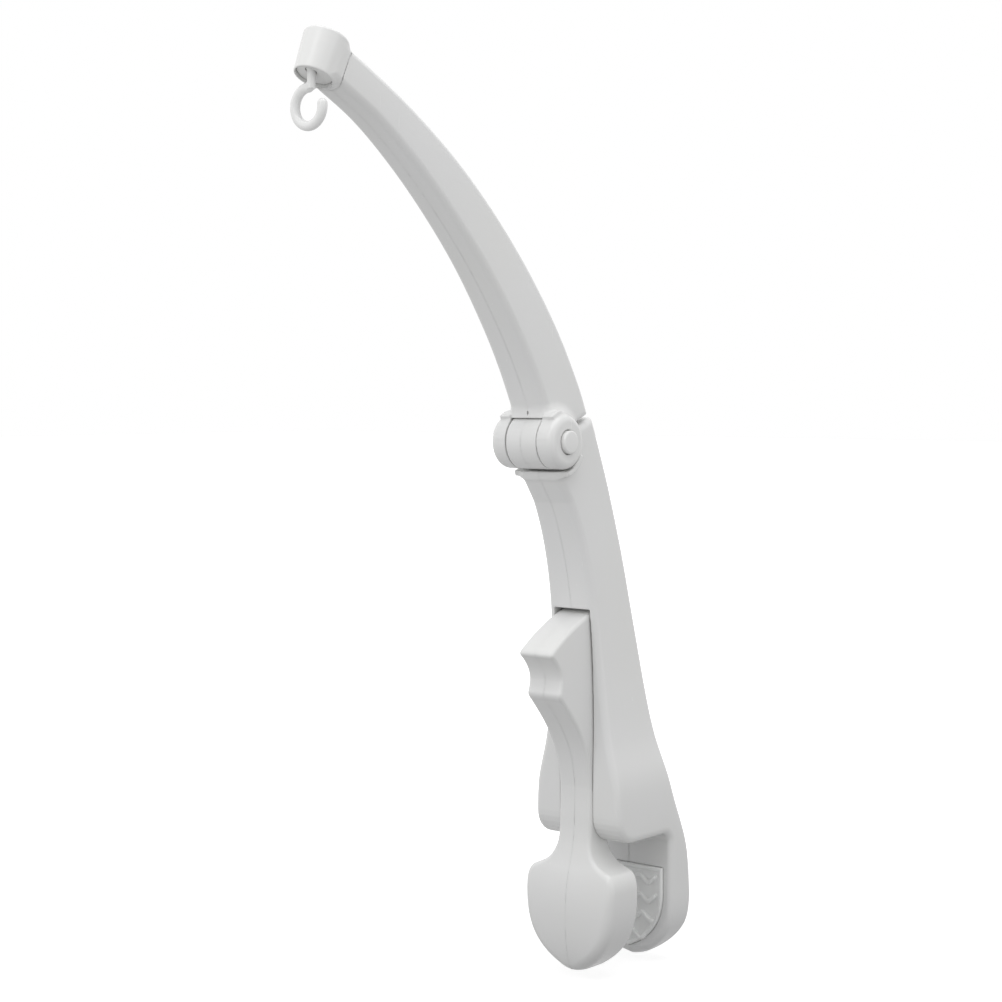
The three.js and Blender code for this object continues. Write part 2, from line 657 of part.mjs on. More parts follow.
function paddleFront() {
  const shape = new THREE.Shape();
  const half = PADDLE_HALF;
  shape.moveTo(-NECK_HALF, 8);
  shape.bezierCurveTo(-NECK_HALF, -12, -20, -12, -27.2, -15.8);
  shape.quadraticCurveTo(-31.2, -18.5, -half, -27);
  shape.bezierCurveTo(-half - 0.4, -46, -25.5, -58.5, -9, -72);
  shape.quadraticCurveTo(0, -81, 9, -72);
  shape.bezierCurveTo(25.5, -58.5, half + 0.4, -46, half, -27);
  shape.quadraticCurveTo(31.2, -18.5, 27.2, -15.8);
  shape.bezierCurveTo(20, -12, NECK_HALF, -12, NECK_HALF, 8);
  return shape;
}

function paddle() {
  const side = sideSolid(paddleSide(), PADDLE_HALF + 1, { curveSegments: 5 });
  const front = frontSolid(paddleFront(), JAW_FRONT_X - 1, 46.4, { edge: 5, curveSegments: 5 });
  return side.intersect(front);
}

function leverCavity() {
  const grip = polygon([
    [33, 127], [47, 120.5], [65.5, 110], [60.2, 100], [60, 92], [60.6, 87], [43.4, 68], [35, 52], [32.4, 30],
    [32.9, 6], [32.9, -14], [23, -14], [23, 30], [19.4, 45], [18, 62], [22, 80], [30.5, 117],
  ]);
  const inPaddle = frontSolid(jawOutline(28, -20, -70, -34), 20.4, 35.8);
  const neck = sideSolid(grip, NECK_HALF - 2.2);
  const springWindow = box(8, 24, -8, 8, 40, 66);
  return neck.add(inPaddle).add(springWindow);
}

function lever() {
  const gripWidth = through([[12, NECK_HALF], [70, LEVER_HALF]]);
  const grip = sideSolid(gripOutline(), LEVER_HALF, {
    edge: 1.8, curveSegments: 4, widthAt: (x, z) => gripWidth(z),
  });
  let solid = grip.add(paddle()).subtract(leverCavity());
  for (const at of leverScrews) solid = solid.add(screwBoss(at, NECK_HALF - 1));
  for (const side of [-1, 1]) {
    const [y0, y1] = [side * (NECK_HALF - WALL), side * (NECK_HALF + 0.2)].sort((a, b) => a - b);
    solid = solid.add(rod(6.5, y0, y1, PIVOT));
  }
  solid = solid.subtract(rod(PIVOT_PIN_R + GAP, -20, 20, PIVOT));
  for (const at of leverScrews) solid = solid.subtract(screwHole(at, NECK_HALF + 0.3));
  return solid.subtract(padSolid(JAW_FRONT_X - 5, JAW_FRONT_X + 1.8, GAP));
}

// A torsion spring round the pivot pin: one leg pushes the grip out, the other bears on the body's back wall.
function clampSpring() {
  const [radius, wire] = [5, 0.8];
  const leg = (y, side, tilt, length) => {
    const geometry = new THREE.CylinderGeometry(wire, wire, length, 7);
    geometry.rotateX(Math.PI / 2);
    geometry.translate(0, 0, length / 2 - 0.4);
    geometry.rotateY(tilt);
    geometry.translate(PIVOT.x + side * radius, y, PIVOT.z);
    return solidOf(geometry);
  };
  return coil({ radius, wire, turns: 5.5, y0: -6, y1: 6, at: PIVOT, steps: 44 })
    .add(leg(-6, 1, 0.52, 14))
    .add(leg(6, -1, -0.887, 33));
}

// ---------- assembly ----------
const upper = upperArm();
const body = lowerBody();
const clampLever = lever();

const upperGroup = new THREE.Group();
upperGroup.add(
  part('upper_arm_shell_right', nearHalf(upper), white('arm')),
  part('upper_arm_shell_left', farHalf(upper), white('arm')),
  part('tip_cap', tipCap(), white('cap')),
  part('cap_plug', capPlug(), white('cap')),
  part('swivel_hook', swivelHook(), white('hook', 0xf4f5f5)),
  ...armScrews.map((at, i) => part(`arm_screw_${i + 1}`, screw(at, armWidth(at.z)), steel())),
);

const LOCK_SPRING = { radius: 5.6, wire: 0.6, turns: 4, y0: -5, y1: 3.6, at: HINGE, steps: 32 };
const hingeGroup = new THREE.Group();
hingeGroup.add(
  part('hinge_pin', hingePin(), steel()),
  part('hinge_cap', hingeCap(), white('cap')),
  part('fold_button', foldButton(), white('button')),
  part('lock_hub', lockHub(), white('hub', 0xe4e4e0)),
  part('lock_spring', coil(LOCK_SPRING), steel()),
);

const bodyGroup = new THREE.Group();
bodyGroup.add(
  part('lower_body_shell_right', nearHalf(body), white('body')),
  part('lower_body_shell_left', farHalf(body), white('body')),
  part('lever_pivot_pin', leverPivotPin(), steel()),
  part('rear_jaw_pad', jawPad(JAW_REAR_X, 1), rubber()),
  ...bodyScrews.map((at, i) => part(`body_screw_${i + 1}`, screw(at, bodyWidth(at.x, at.z)), steel())),
);

const leverGroup = new THREE.Group();
leverGroup.add(
  part('lever_shell_right', nearHalf(clampLever), white('lever')),
  part('lever_shell_left', farHalf(clampLever), white('lever')),
  part('front_jaw_pad', jawPad(JAW_FRONT_X, -1), rubber()),
  part('clamp_spring', clampSpring(), steel()),
  ...leverScrews.map((at, i) => part(`lever_screw_${i + 1}`, screw(at, NECK_HALF + 0.3), steel())),
);

const arm = new THREE.Group();
arm.add(upperGroup, hingeGroup, bodyGroup, leverGroup);
export default arm;
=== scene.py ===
import json
import math

import bpy
import numpy as np
from mathutils import Matrix, Vector


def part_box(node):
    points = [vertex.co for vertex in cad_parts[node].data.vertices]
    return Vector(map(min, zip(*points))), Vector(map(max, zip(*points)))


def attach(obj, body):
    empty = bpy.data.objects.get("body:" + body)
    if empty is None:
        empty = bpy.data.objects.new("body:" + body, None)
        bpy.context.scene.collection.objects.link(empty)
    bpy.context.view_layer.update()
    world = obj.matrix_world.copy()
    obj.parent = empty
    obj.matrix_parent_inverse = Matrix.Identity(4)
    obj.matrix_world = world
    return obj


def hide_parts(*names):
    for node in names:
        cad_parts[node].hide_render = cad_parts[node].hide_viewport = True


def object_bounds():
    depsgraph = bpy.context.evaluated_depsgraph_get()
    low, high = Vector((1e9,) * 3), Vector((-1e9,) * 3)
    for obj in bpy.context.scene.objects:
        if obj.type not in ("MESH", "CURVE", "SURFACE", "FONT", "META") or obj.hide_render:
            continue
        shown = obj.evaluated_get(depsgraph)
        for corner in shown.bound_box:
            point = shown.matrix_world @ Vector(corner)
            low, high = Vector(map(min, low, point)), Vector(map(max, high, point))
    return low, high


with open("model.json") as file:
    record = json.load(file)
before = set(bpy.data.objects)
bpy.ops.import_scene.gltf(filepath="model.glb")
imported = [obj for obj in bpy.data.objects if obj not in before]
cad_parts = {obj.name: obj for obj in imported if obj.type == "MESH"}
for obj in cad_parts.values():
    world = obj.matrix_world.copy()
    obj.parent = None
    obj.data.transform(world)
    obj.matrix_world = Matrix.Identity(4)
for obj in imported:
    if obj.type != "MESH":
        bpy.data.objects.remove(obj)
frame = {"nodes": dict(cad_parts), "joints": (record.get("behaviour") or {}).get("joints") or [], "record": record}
cad_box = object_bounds()
record = frame["record"]
joints = {joint["name"]: joint for joint in frame["joints"]}

# ---------- driving sizes, in millimetres ----------
MM = 0.001
HINGE_X, _, HINGE_Z = (value / MM for value in joints["fold"]["pos_m"])
PIVOT_X, _, PIVOT_Z = (value / MM for value in joints["lever_squeeze"]["pos_m"])
HOOK_X, _, BALL_Z = (value / MM for value in joints["hook_swivel"]["pos_m"])
SEAM = 0.006                # each moulded half stops this far from the middle plane
SEAM_EDGE = 0.01            # rounding of the halves' edges at the seam
CAP_JOINT = 0.005           # the cap and the arm each stop this far from their joint
WALL = 2.4                  # thickness of the arm's and the body's shells
LEVER_WALL = 2.2
SIDE_CROWN = 0.5            # rise of a shell's side away from its edges
EDGE_DROP = 0.2             # depth of a shell's side below its width at the edges
HOLE_EDGE = 0.3             # rounding of the edges of holes
OFF = 100                   # taken from a field to switch its limit off
SHELL_CELL = 0.8            # mesh spacing of the shells
FINE_CELL = 0.42            # of the cap and the pads
HOOK_CELL = 0.3
SCREW_CELL = 0.2
CLOSEST = 0.02              # smallest mesh spacing, at seams and joints
BARREL_R = 15.1             # knuckle and ears
BARREL_CLEAR_R = 15.9       # hollow that they turn in
KNUCKLE_HALF = 10.6
FAR_KNUCKLE_GAP = 0.45      # how much narrower the knuckle is on the far side
KNUCKLE_BORE = 8.0
AXLE_BORE = 3.3             # hole for the hinge pin
HUB_BORE = 9.2              # room for the lock hub's wide end
HUB_SPLINE_R = 9.3
EAR_IN = 11.0
EAR_OUT = 21.8
EAR_EDGE = 4.4
EAR_FILLET = 7.5
ARM_EDGE = 3.6
ARM_INNER = (54.5, 236.4)   # where the arm's end face meets the barrel
BODY_EDGE = 4.2
BODY_INNER = (54.3, 234.9)  # where the body's end face meets the barrel
BUTTON_R = 6.4
BUTTON_FACE = 24.0
BUTTON_BORE = 6.75
FLANGE_R = 7.5              # the button's flange, which keeps it in the ear
FLANGE_LOW = 14.7
FLANGE_TOP = 18.6
FLANGE_ROOM = 0.4
JAW_REAR_X = -17.4          # face of the body's jaw
JAW_FRONT_X = 17.0          # face of the lever's jaw
JAW_HALF = 31.3             # half width of the rear jaw
JAW_LOW = -78.1             # lowest point of the rear jaw
JAW_WAIST = -38.0           # where the rear jaw's round end starts
PADDLE_HALF = 31.25         # half width of the lever's jaw
NECK_HALF = 10.9
LEVER_HALF = 11.8
PIVOT_BORE = 2.8            # hole for the lever's pin
SLOT_TOP = 133.3            # top of the lever's slot in the body
SLOT_HALF = [(12, 11.25), (70, 12.1), (95, 12.25), (132, 12.5)]
SLOT_WALL = 2
PAD_HALF = 24.4
PAD_TOP = -21.5
PAD_WAIST = -36.0
PAD_BOTTOM = -70.5
PAD_PROUD = 1.6
PAD_ROOM = 0.12             # gap round a pad in its pocket
RIB_HEIGHT = 1.1
RIB_PITCH = 11.2
RIB_WAVE = 12.6             # length of one wave of a rib
SCREW_RECESS = 3.1          # radius of the recess for a head
SCREW_HEAD = 2.1            # depth of the recess
SCREW_HOLE = 1.8
SCREW_BOSS = 4.3            # radius of the plastic round a screw
CAP_X = 243.5               # middle of the tip cap's bottom
CAP_Z = 405.9
CAP_TILT = 0.445            # radians
CAP_LOW_R = 10.1
CAP_HIGH_R = 11.85
CAP_HEIGHT = 22.7
CAP_BORE = 9.2              # radius of the plug's seat
CAP_FILLET = 3.0            # between the cap and the arm
PLUG_R = 9.1
BALL_R = 2.9                # ball at the top of the hook
SOCKET_R = 3.2


# ---------- solid modelling with distance fields ----------
# A field is negative inside a solid and grows by about 1 for each millimetre outwards.
def union(a, b, fillet=0.0):
    if not np.any(fillet):
        return np.minimum(a, b)
    corner = np.hypot(np.maximum(fillet - a, 0), np.maximum(fillet - b, 0))
    return np.maximum(fillet, np.minimum(a, b)) - corner


def common(a, b, edge=0.0):
    return -union(-a, -b, edge)


def cut(a, b, edge=0.0):
    return -union(-a, b, edge)


def spaced(low, high, cell, fine_at=()):
    """Grid coordinates from low to high, closer together near each value in fine_at."""
    values = [low]
    while values[-1] < high:
        near = min((abs(values[-1] - f) for f in fine_at), default=1e9)
        values.append(values[-1] + min(cell, max(CLOSEST, 0.5 * near)))
    return np.array(values, np.float32)


def open_grid(axes):
    x, y, z = axes
    return x[:, None, None], y[None, :, None], z[None, None, :]


def outline_field(points, u, v):
    """Distance from a closed outline in the plane of u and v."""
    nearest = np.full(np.broadcast(u, v).shape, 1e9, np.float32)
    flips = np.zeros(nearest.shape, bool)
    corners = [(float(a), float(b)) for a, b in points]
    for (au, av), (bu, bv) in zip(corners, corners[1:] + corners[:1]):
        eu, ev = bu - au, bv - av
        if eu * eu + ev * ev < 1e-10:
            continue
        wu, wv = u - au, v - av
        t = np.clip((wu * eu + wv * ev) / (eu * eu + ev * ev), 0, 1)
        nearest = np.minimum(nearest, (wu - eu * t) ** 2 + (wv - ev * t) ** 2)
        above = (v >= av) & (v < bv) & (eu * wv > ev * wu)
        below = (v < av) & (v >= bv) & (eu * wv < ev * wu)
        flips ^= above | below
    return np.where(flips, -1, 1).astype(np.float32) * np.sqrt(nearest)


def bezier(*controls, count):
    """Points along a Bezier curve of any degree."""
    t = np.linspace(0, 1, count)[:, None]
    rows = [np.array(c, float)[None, :] * np.ones_like(t) for c in controls]
    while len(rows) > 1:
        rows = [a * (1 - t) + b * t for a, b in zip(rows, rows[1:])]
    return [tuple(p) for p in rows[0]]


def smooth_line(points, count=12):
    """A Catmull-Rom curve through points."""
    p = [2 * np.array(points[0], float) - np.array(points[1], float)]
    p += [np.array(q, float) for q in points]
    p += [2 * p[-1] - p[-2]]
    found = []
    for a, b, c, d in zip(p, p[1:], p[2:], p[3:]):
        for t in np.arange(count) / count:
            found.append(tuple(0.5 * (
                2 * b + (c - a) * t + (2 * a - 5 * b + 4 * c - d) * t ** 2
                + (3 * b - a - 3 * c + d) * t ** 3
            )))
    return found + [tuple(points[-1])]


def rounded(before, corner, after, radius, steps=8):
    """The points of an arc that rounds the corner between two straight sides."""
    b, c, a = (np.array(q, float) for q in (before, corner, after))
    one, two = (b - c) / np.linalg.norm(b - c), (a - c) / np.linalg.norm(a - c)
    half = math.acos(np.clip(one @ two, -1, 1)) / 2
    middle = c + (one + two) / np.linalg.norm(one + two) * radius / math.sin(half)
    start, end = c + one * radius / math.tan(half), c + two * radius / math.tan(half)
    s0, s1 = start - middle, end - middle
    whole = math.acos(np.clip((s0 @ s1) / radius ** 2, -1, 1))
    return [
        tuple(middle + (math.sin((1 - t) * whole) * s0 + math.sin(t * whole) * s1) / math.sin(whole))
        for t in np.linspace(0, 1, steps)
    ]


def through(stations, at):
    """A smooth curve through [place, value] stations, read at each place in at."""
    t, v = (np.array(column, float) for column in zip(*stations))
    slope = np.gradient(v, t)
    slope[0] = slope[-1] = 0
    at = np.clip(at, t[0], t[-1])
    i = np.clip(np.searchsorted(t, at, side="right") - 1, 0, len(t) - 2)
    h = t[i + 1] - t[i]
    s = (at - t[i]) / h
    smooth = (
        v[i] * (1 + 2 * s) * (1 - s) ** 2 + slope[i] * h * s * (1 - s) ** 2
        + v[i + 1] * s ** 2 * (3 - 2 * s) + slope[i + 1] * h * s ** 2 * (s - 1)
    )
    return smooth.astype(np.float32)


def corner_values(field, cells):
    i, j, k = cells.T
    offsets = [(a, b, c) for a in (0, 1) for b in (0, 1) for c in (0, 1)]
    return offsets, np.stack([field[i + a, j + b, k + c] for a, b, c in offsets], 1)


def read_field(field, at):
    """The field at places given in grid steps, by straight-line interpolation."""
    top = np.array(field.shape) - 2
    cells = np.clip(np.floor(at).astype(int), 0, top)
    f = at - cells
    offsets, values = corner_values(field, cells)
    total = np.zeros(len(at))
    for (a, b, c), value in zip(offsets, values.T):
        weight = (f[:, 0] if a else 1 - f[:, 0]) * (f[:, 1] if b else 1 - f[:, 1])
        total += weight * (f[:, 2] if c else 1 - f[:, 2]) * value
    return total


def slope_of(field, at, spacing):
    """Gradient of the field in millimetres at places given in grid steps."""
    found = np.zeros((len(at), 3))
    for axis in range(3):
        step = np.zeros(3)
        step[axis] = 0.5
        rise = read_field(field, at + step) - read_field(field, at - step)
        found[:, axis] = rise / spacing[:, axis]
    return found


def surface(field, axes, shading=None):
    """Vertices, faces and normals of the field's zero level, one vertex in each cell that it crosses.

    The normals come from the field called shading if one is given, so that a joint cut into a piece
    stays a hairline and doesn't darken the skin beside it.
    """
    inside = field < 0
    nx, ny, nz = field.shape
    count = np.zeros((nx - 1, ny - 1, nz - 1), np.int8)
    for a in (0, 1):
        for b in (0, 1):
            for c in (0, 1):
                count += inside[a:nx - 1 + a, b:ny - 1 + b, c:nz - 1 + c]
    crossed = (count > 0) & (count < 8)
    cells = np.argwhere(crossed)
    index = np.zeros(crossed.shape, np.int32)
    index[crossed] = np.arange(len(cells))
    offsets, values = corner_values(field, cells)
    total, hits = np.zeros((len(cells), 3)), np.zeros(len(cells))
    for m, one in enumerate(offsets):
        for n, two in enumerate(offsets):
            if n <= m or sum(abs(p - q) for p, q in zip(one, two)) != 1:
                continue
            a, b = values[:, m], values[:, n]
            hit = (a < 0) != (b < 0)
            t = np.where(hit, a / np.where(hit, a - b, 1), 0)
            here = np.array(one) + t[:, None] * (np.array(two) - np.array(one))
            total += here * hit[:, None]
            hits += hit
    at = cells + total / hits[:, None]
    spacing = np.stack([np.diff(axis)[cells[:, n]] for n, axis in enumerate(axes)], 1)
    for _ in range(3):
        slope = slope_of(field, at, spacing)
        size = np.maximum((slope ** 2).sum(1), 0.05)
        move = -(read_field(field, at) / size)[:, None] * slope / spacing
        at = np.clip(at + np.clip(move, -0.5, 0.5), cells, cells + 1)
    slope = slope_of(field if shading is None else shading, at, spacing)
    normals = slope / np.maximum(np.linalg.norm(slope, axis=1), 1e-6)[:, None]
    steps = [np.arange(len(axis)) for axis in axes]
    places = np.stack([np.interp(at[:, n], steps[n], axes[n]) for n in range(3)], 1)
    return places, quads(inside, index), normals


def quads(inside, index):
    found = []
    for axis in range(3):
        turn = [(axis + n) % 3 for n in range(3)]
        here, cell = inside.transpose(turn), index.transpose(turn)
        i, j, k = np.nonzero(here[:-1, 1:-1, 1:-1] != here[1:, 1:-1, 1:-1])
        j, k = j + 1, k + 1
        four = np.stack([cell[i, j - 1, k - 1], cell[i, j, k - 1], cell[i, j, k], cell[i, j - 1, k]], 1)
        out = here[i, j, k]
        found.append(np.where(out[:, None], four, four[:, ::-1]))
    return np.concatenate(found)


# ---------- meshes ----------
def add_piece(name, places, faces, normals=None, matrix=None, mirrored=False):
    """A mesh object from places in millimetres."""
    places = np.array(places, float) * MM
    if mirrored:
        places[:, 1] *= -1
        faces = [tuple(reversed(face)) for face in np.asarray(faces).tolist()]
        if normals is not None:
            normals = normals * np.array([1, -1, 1])
    else:
        faces = faces.tolist() if isinstance(faces, np.ndarray) else faces
    mesh = bpy.data.meshes.new(name)
    mesh.from_pydata(places.tolist(), [], faces)
    if matrix is not None:
        mesh.transform(matrix)
    mesh.shade_smooth()
    if normals is not None:
        if matrix is not None:
            normals = normals @ np.array(matrix.to_3x3()).T
        mesh.normals_split_custom_set_from_vertices(normals.tolist())
    else:
        mesh.set_sharp_from_angle(angle=math.radians(38))
    piece = bpy.data.objects.new(name, mesh)
    bpy.context.scene.collection.objects.link(piece)
    return piece


def field_piece(name, field, axes, matrix=None, mirrored=False, shading=None):
    shape = tuple(len(axis) for axis in axes)
    if shading is not None:
        shading = np.broadcast_to(shading, shape)
    return add_piece(name, *surface(np.broadcast_to(field, shape), axes, shading), matrix, mirrored)


def lathe(name, profile, matrix, segments=96):
    """A closed turned piece. The profile holds [radius, height] pairs, and starts and ends on the axis."""
    rings, places = [], []
    for radius, height in profile:
        if radius < 1e-6:
            rings.append([len(places)] * segments)
            places.append((0, 0, height))
            continue
        rings.append(list(range(len(places), len(places) + segments)))
        for n in range(segments):
            angle = 2 * math.pi * n / segments
            places.append((radius * math.cos(angle), radius * math.sin(angle), height))
    faces = []
    for low, high in zip(rings, rings[1:]):
        for n in range(segments):
            m = (n + 1) % segments
            face = list(dict.fromkeys([low[n], low[m], high[m], high[n]]))
            if len(face) > 2:
                faces.append(tuple(face))
    return add_piece(name, places, faces, matrix=matrix)


def arc(r, h, radius, start, end, steps=8):
    """Points of a round corner in a turned profile."""
    angles = np.radians(np.linspace(start, end, steps))
    return [(r + radius * math.cos(a), h + radius * math.sin(a)) for a in angles]


def axle(outwards):
    """A matrix for a piece turned round the hinge line, whose own Z points outwards."""
    up, side = Vector(outwards), Vector((1, 0, 0))
    turn = Matrix((side, up.cross(side), up)).transposed().to_4x4()
    return Matrix.Translation(Vector((HINGE_X, 0, HINGE_Z)) * MM) @ turn


NEAR_AXLE = axle((0, 1, 0))
FAR_AXLE = axle((0, -1, 0))


# ---------- side outlines ----------
ARM_FRONT = smooth_line([
    (76.8, 243.6), (89.1, 266.8), (104.6, 290.5), (126.8, 318.6), (152.3, 344.8), (179.3, 368.5),
    (207, 388.5), (234.8, 403),
])
ARM_BACK = smooth_line([
    (226.5, 420.6), (209.9, 412.6), (181.4, 397.1), (148.1, 375), (117.5, 349.1), (90, 320.3),
    (65.9, 289.1), (48.7, 260.9), (39.9, 242.7),
])
ARM_WIDTH = [(240, 13.4), (290, 12.6), (345, 10.9), (400, 9.9), (430, 9.7)]
BODY_FRONT = bezier((57.8, 194), (30.2, 141.5), (35.4, 75.2), (33.6, 15), count=120)
BODY_BACK = smooth_line([
    (-39.3, -38), (-35.4, -9), (-21.4, 25.5), (-12.2, 61.8), (-3, 110.8), (8.3, 160.5),
    (19.4, 198.3), (29.4, 225), (36.9, 242),
])
BODY_WIDTH = [
    (-30, 31.2), (10, 31.2), (30, 29.7), (58, 23.4), (86, 19.8), (121, 17.2), (160, 15.5), (196, 14.3),
    (240, 13.8),
]
ARM_SCREWS = [n for n in sorted(frame["nodes"]) if n.startswith("arm_screw")]
BODY_SCREWS = [n for n in sorted(frame["nodes"]) if n.startswith("body_screw")]
LEVER_SCREWS = [n for n in sorted(frame["nodes"]) if n.startswith("lever_screw")]


def middle_of(node):
    low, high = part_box(node)
    return (low + high) / 2 / MM


def arm_outline():
    heel = rounded(ARM_BACK[-4], ARM_BACK[-1], ARM_INNER, 1.6)
    tip = [(242, 406.8), (234.6, 424.4)]
    return [*ARM_FRONT, *tip, *ARM_BACK[:-3], *heel, ARM_INNER, (HINGE_X, HINGE_Z)]


def body_outline():
    """The side of the lower body: front, foot, jaw gap, rear jaw and back."""
    foot, inner, heel, top = 15, 6, 9, 2.2
    foot_corner, gap_corner = (33.6, 0), (JAW_REAR_X, 0)
    jaw_corner, jaw_end = (JAW_REAR_X, JAW_LOW), (JAW_REAR_X - heel - 10, JAW_LOW)
    jaw_back = [(-31.5, JAW_LOW + 3.9), (-35.4, JAW_LOW + 10.8), (-38.3, JAW_LOW + 21), BODY_BACK[0]]
    return [
        (HINGE_X, HINGE_Z), (68.5, 208.6), *BODY_FRONT,
        *rounded(BODY_FRONT[-1], foot_corner, gap_corner, foot),
        *rounded(foot_corner, gap_corner, jaw_corner, inner),
        *rounded(gap_corner, jaw_corner, jaw_end, heel),
        *smooth_line(jaw_back, 6), *BODY_BACK[:-3],
        *rounded(BODY_BACK[-4], BODY_BACK[-1], BODY_INNER, top), BODY_INNER,
    ]


def jaw_outline(half, top, bottom, waist):
    """A D shape that hangs from top: straight sides down to waist, then a round end at bottom."""
    reach = waist - bottom
    one = bezier(
        (-half, waist), (-half, waist - reach * 0.46), (-half * 0.72, bottom + reach * 0.2), (0, bottom),
        count=40,
    )
    two = [(-u, v) for u, v in reversed(one)]
    return [(-half, top), *one, *two[1:], (half, top)]


def hinge_distance(x, z):
    return np.hypot(x - HINGE_X, z - HINGE_Z).astype(np.float32)


def ring_sector(x, z, inner, outer, start, end):
    """The side of a piece of ring round the hinge, with angles from straight up towards the front."""
    distance = hinge_distance(x, z)
    angle = np.arctan2(x - HINGE_X, z - HINGE_Z) % (2 * math.pi)
    middle, half = (start + end) / 2, (end - start) / 2
    off = np.abs((angle - middle + math.pi) % (2 * math.pi) - math.pi) - half
    ring = np.maximum(inner - distance, distance - outer)
    return np.maximum(ring, off * np.minimum(distance, outer)).astype(np.float32)


def pivot_cylinder(x, z, radius):
    return np.hypot(x - PIVOT_X, z - PIVOT_Z) - radius


# ---------- what the moulded shells share ----------
def crowned_side(flat, y, z, widths, fade):
    """The field of a shell's side, which rises a little away from the edges of its outline."""
    crown = SIDE_CROWN * (1 - np.exp(np.minimum(flat, 0) / fade))
    return y - through(widths, z) + EDGE_DROP - crown


def with_bosses(cavity, x, z, screws):
    """The hollow of a shell, with a boss left round each screw."""
    for node in screws:
        at = middle_of(node)
        cavity = np.maximum(cavity, SCREW_BOSS - np.hypot(x - at.x, z - at.z))
    return cavity


def with_screw_holes(solid, x, y, z, screws):
    """A far half with its screws' recesses and holes. The half's own +Y is the frame's -Y."""
    for node in screws:
        low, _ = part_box(node)
        at, head = middle_of(node), -low.y / MM
        away = np.hypot(x - at.x, z - at.z)
        hole = np.minimum(np.maximum(away - SCREW_RECESS, head - SCREW_HEAD - y), away - SCREW_HOLE)
        solid = cut(solid, hole, HOLE_EDGE)
    return solid


def pad_pocket(x, y, z, face_x, facing):
    """The pocket that a jaw's pad sits in. facing is +1 if it opens along +X."""
    side = jaw_outline(PAD_HALF + PAD_ROOM, PAD_TOP + PAD_ROOM, PAD_BOTTOM - PAD_ROOM, PAD_WAIST)
    return np.maximum(outline_field(side, y, z), np.abs(x - face_x - facing * 3.2) - 5)


def half_shell(name, skin, axes, near, joint=None):
    """A moulded half that stops at the seam, and at a joint if one is given. Far halves are mirrored."""
    _, y, _ = open_grid(axes)
    solid = skin if joint is None else np.maximum(skin, joint)
    solid = common(solid, SEAM - y, SEAM_EDGE)
    side = "near" if near else "far"
    return field_piece(f"{name}_half_{side}", solid, axes, mirrored=not near, shading=skin)


# ---------- upper arm ----------
def arm_block(x, y, z):
    """The arm without its hinge or cap."""
    flat = outline_field(arm_outline(), x, z)
    return common(flat, crowned_side(flat, y, z, ARM_WIDTH, 4), ARM_EDGE)


def cap_height(x, z):
    return -(x - CAP_X) * math.sin(CAP_TILT) + (z - CAP_Z) * math.cos(CAP_TILT)


def cap_across(x, z):
    return (x - CAP_X) * math.cos(CAP_TILT) + (z - CAP_Z) * math.sin(CAP_TILT)


def cap_field(x, y, z):
    """The tip cap's outer shape: a cone, wider at its round-edged top."""
    slope_cosine, top_rise, top_edge, low_edge = 0.997, 0.5, 1.6, 0.6
    height = cap_height(x, z)
    radius = np.hypot(cap_across(x, z), y)
    cone = (radius - CAP_LOW_R - (height / CAP_HEIGHT) * (CAP_HIGH_R - CAP_LOW_R)) * slope_cosine
    crown = height - CAP_HEIGHT + top_rise * (radius / CAP_HIGH_R) ** 2
    return common(common(cone, crown, top_edge), -height, low_edge).astype(np.float32)


def tip_shape(x, y, z):
    """The arm's end, which stops 4 mm below the cap's top, and the cap, joined by one soft fillet."""
    arm = np.maximum(arm_block(x, y, z), cap_height(x, z) - CAP_HEIGHT + 4)
    return union(arm, cap_field(x, y, z), CAP_FILLET)


def cap_split(x, y, z):
    """Negative on the cap's side of the joint between the cap and the arm."""
    return np.maximum(np.hypot(cap_across(x, z), y) - 13.2, -0.05 - cap_height(x, z))


def with_hinge_edges(arm, x, y, z):
    """The arm with the notched ledge between its ears and the hood over each ear."""
    root, ledge_r, notch_r, hood_r, hood_side = BARREL_R - 1, 17.5, 18.6, 17.6, 18.6
    ledge = common(ring_sector(x, z, root, ledge_r, 0.1, 0.43), y - EAR_IN - 0.5, 0.4)
    notch = np.maximum(ring_sector(x, z, BARREL_R, notch_r, 0.2, 0.5), y - 0.5)
    arm = cut(union(arm, ledge, 0.3), notch, 0.15)
    hood = common(ring_sector(x, z, root, hood_r, 0.1, 0.65), np.maximum(y - hood_side, EAR_IN - y), 0.8)
    return union(arm, hood, 0.6)


def ear_bore(distance, y, near):
    """The hole in an ear: for the button and the hub on the near side, for the pin and its cap on the far."""
    hub_room, cap_seat = 12.5, 17.4
    if near:
        flange = np.maximum(distance - (FLANGE_R + FLANGE_ROOM), y - (FLANGE_TOP + FLANGE_ROOM))
        bore = np.minimum(distance - BUTTON_BORE, flange)
        return np.minimum(bore, np.maximum(distance - HUB_BORE, y - hub_room))
    return np.minimum(np.maximum(distance - BUTTON_BORE, cap_seat - y), distance - AXLE_BORE)


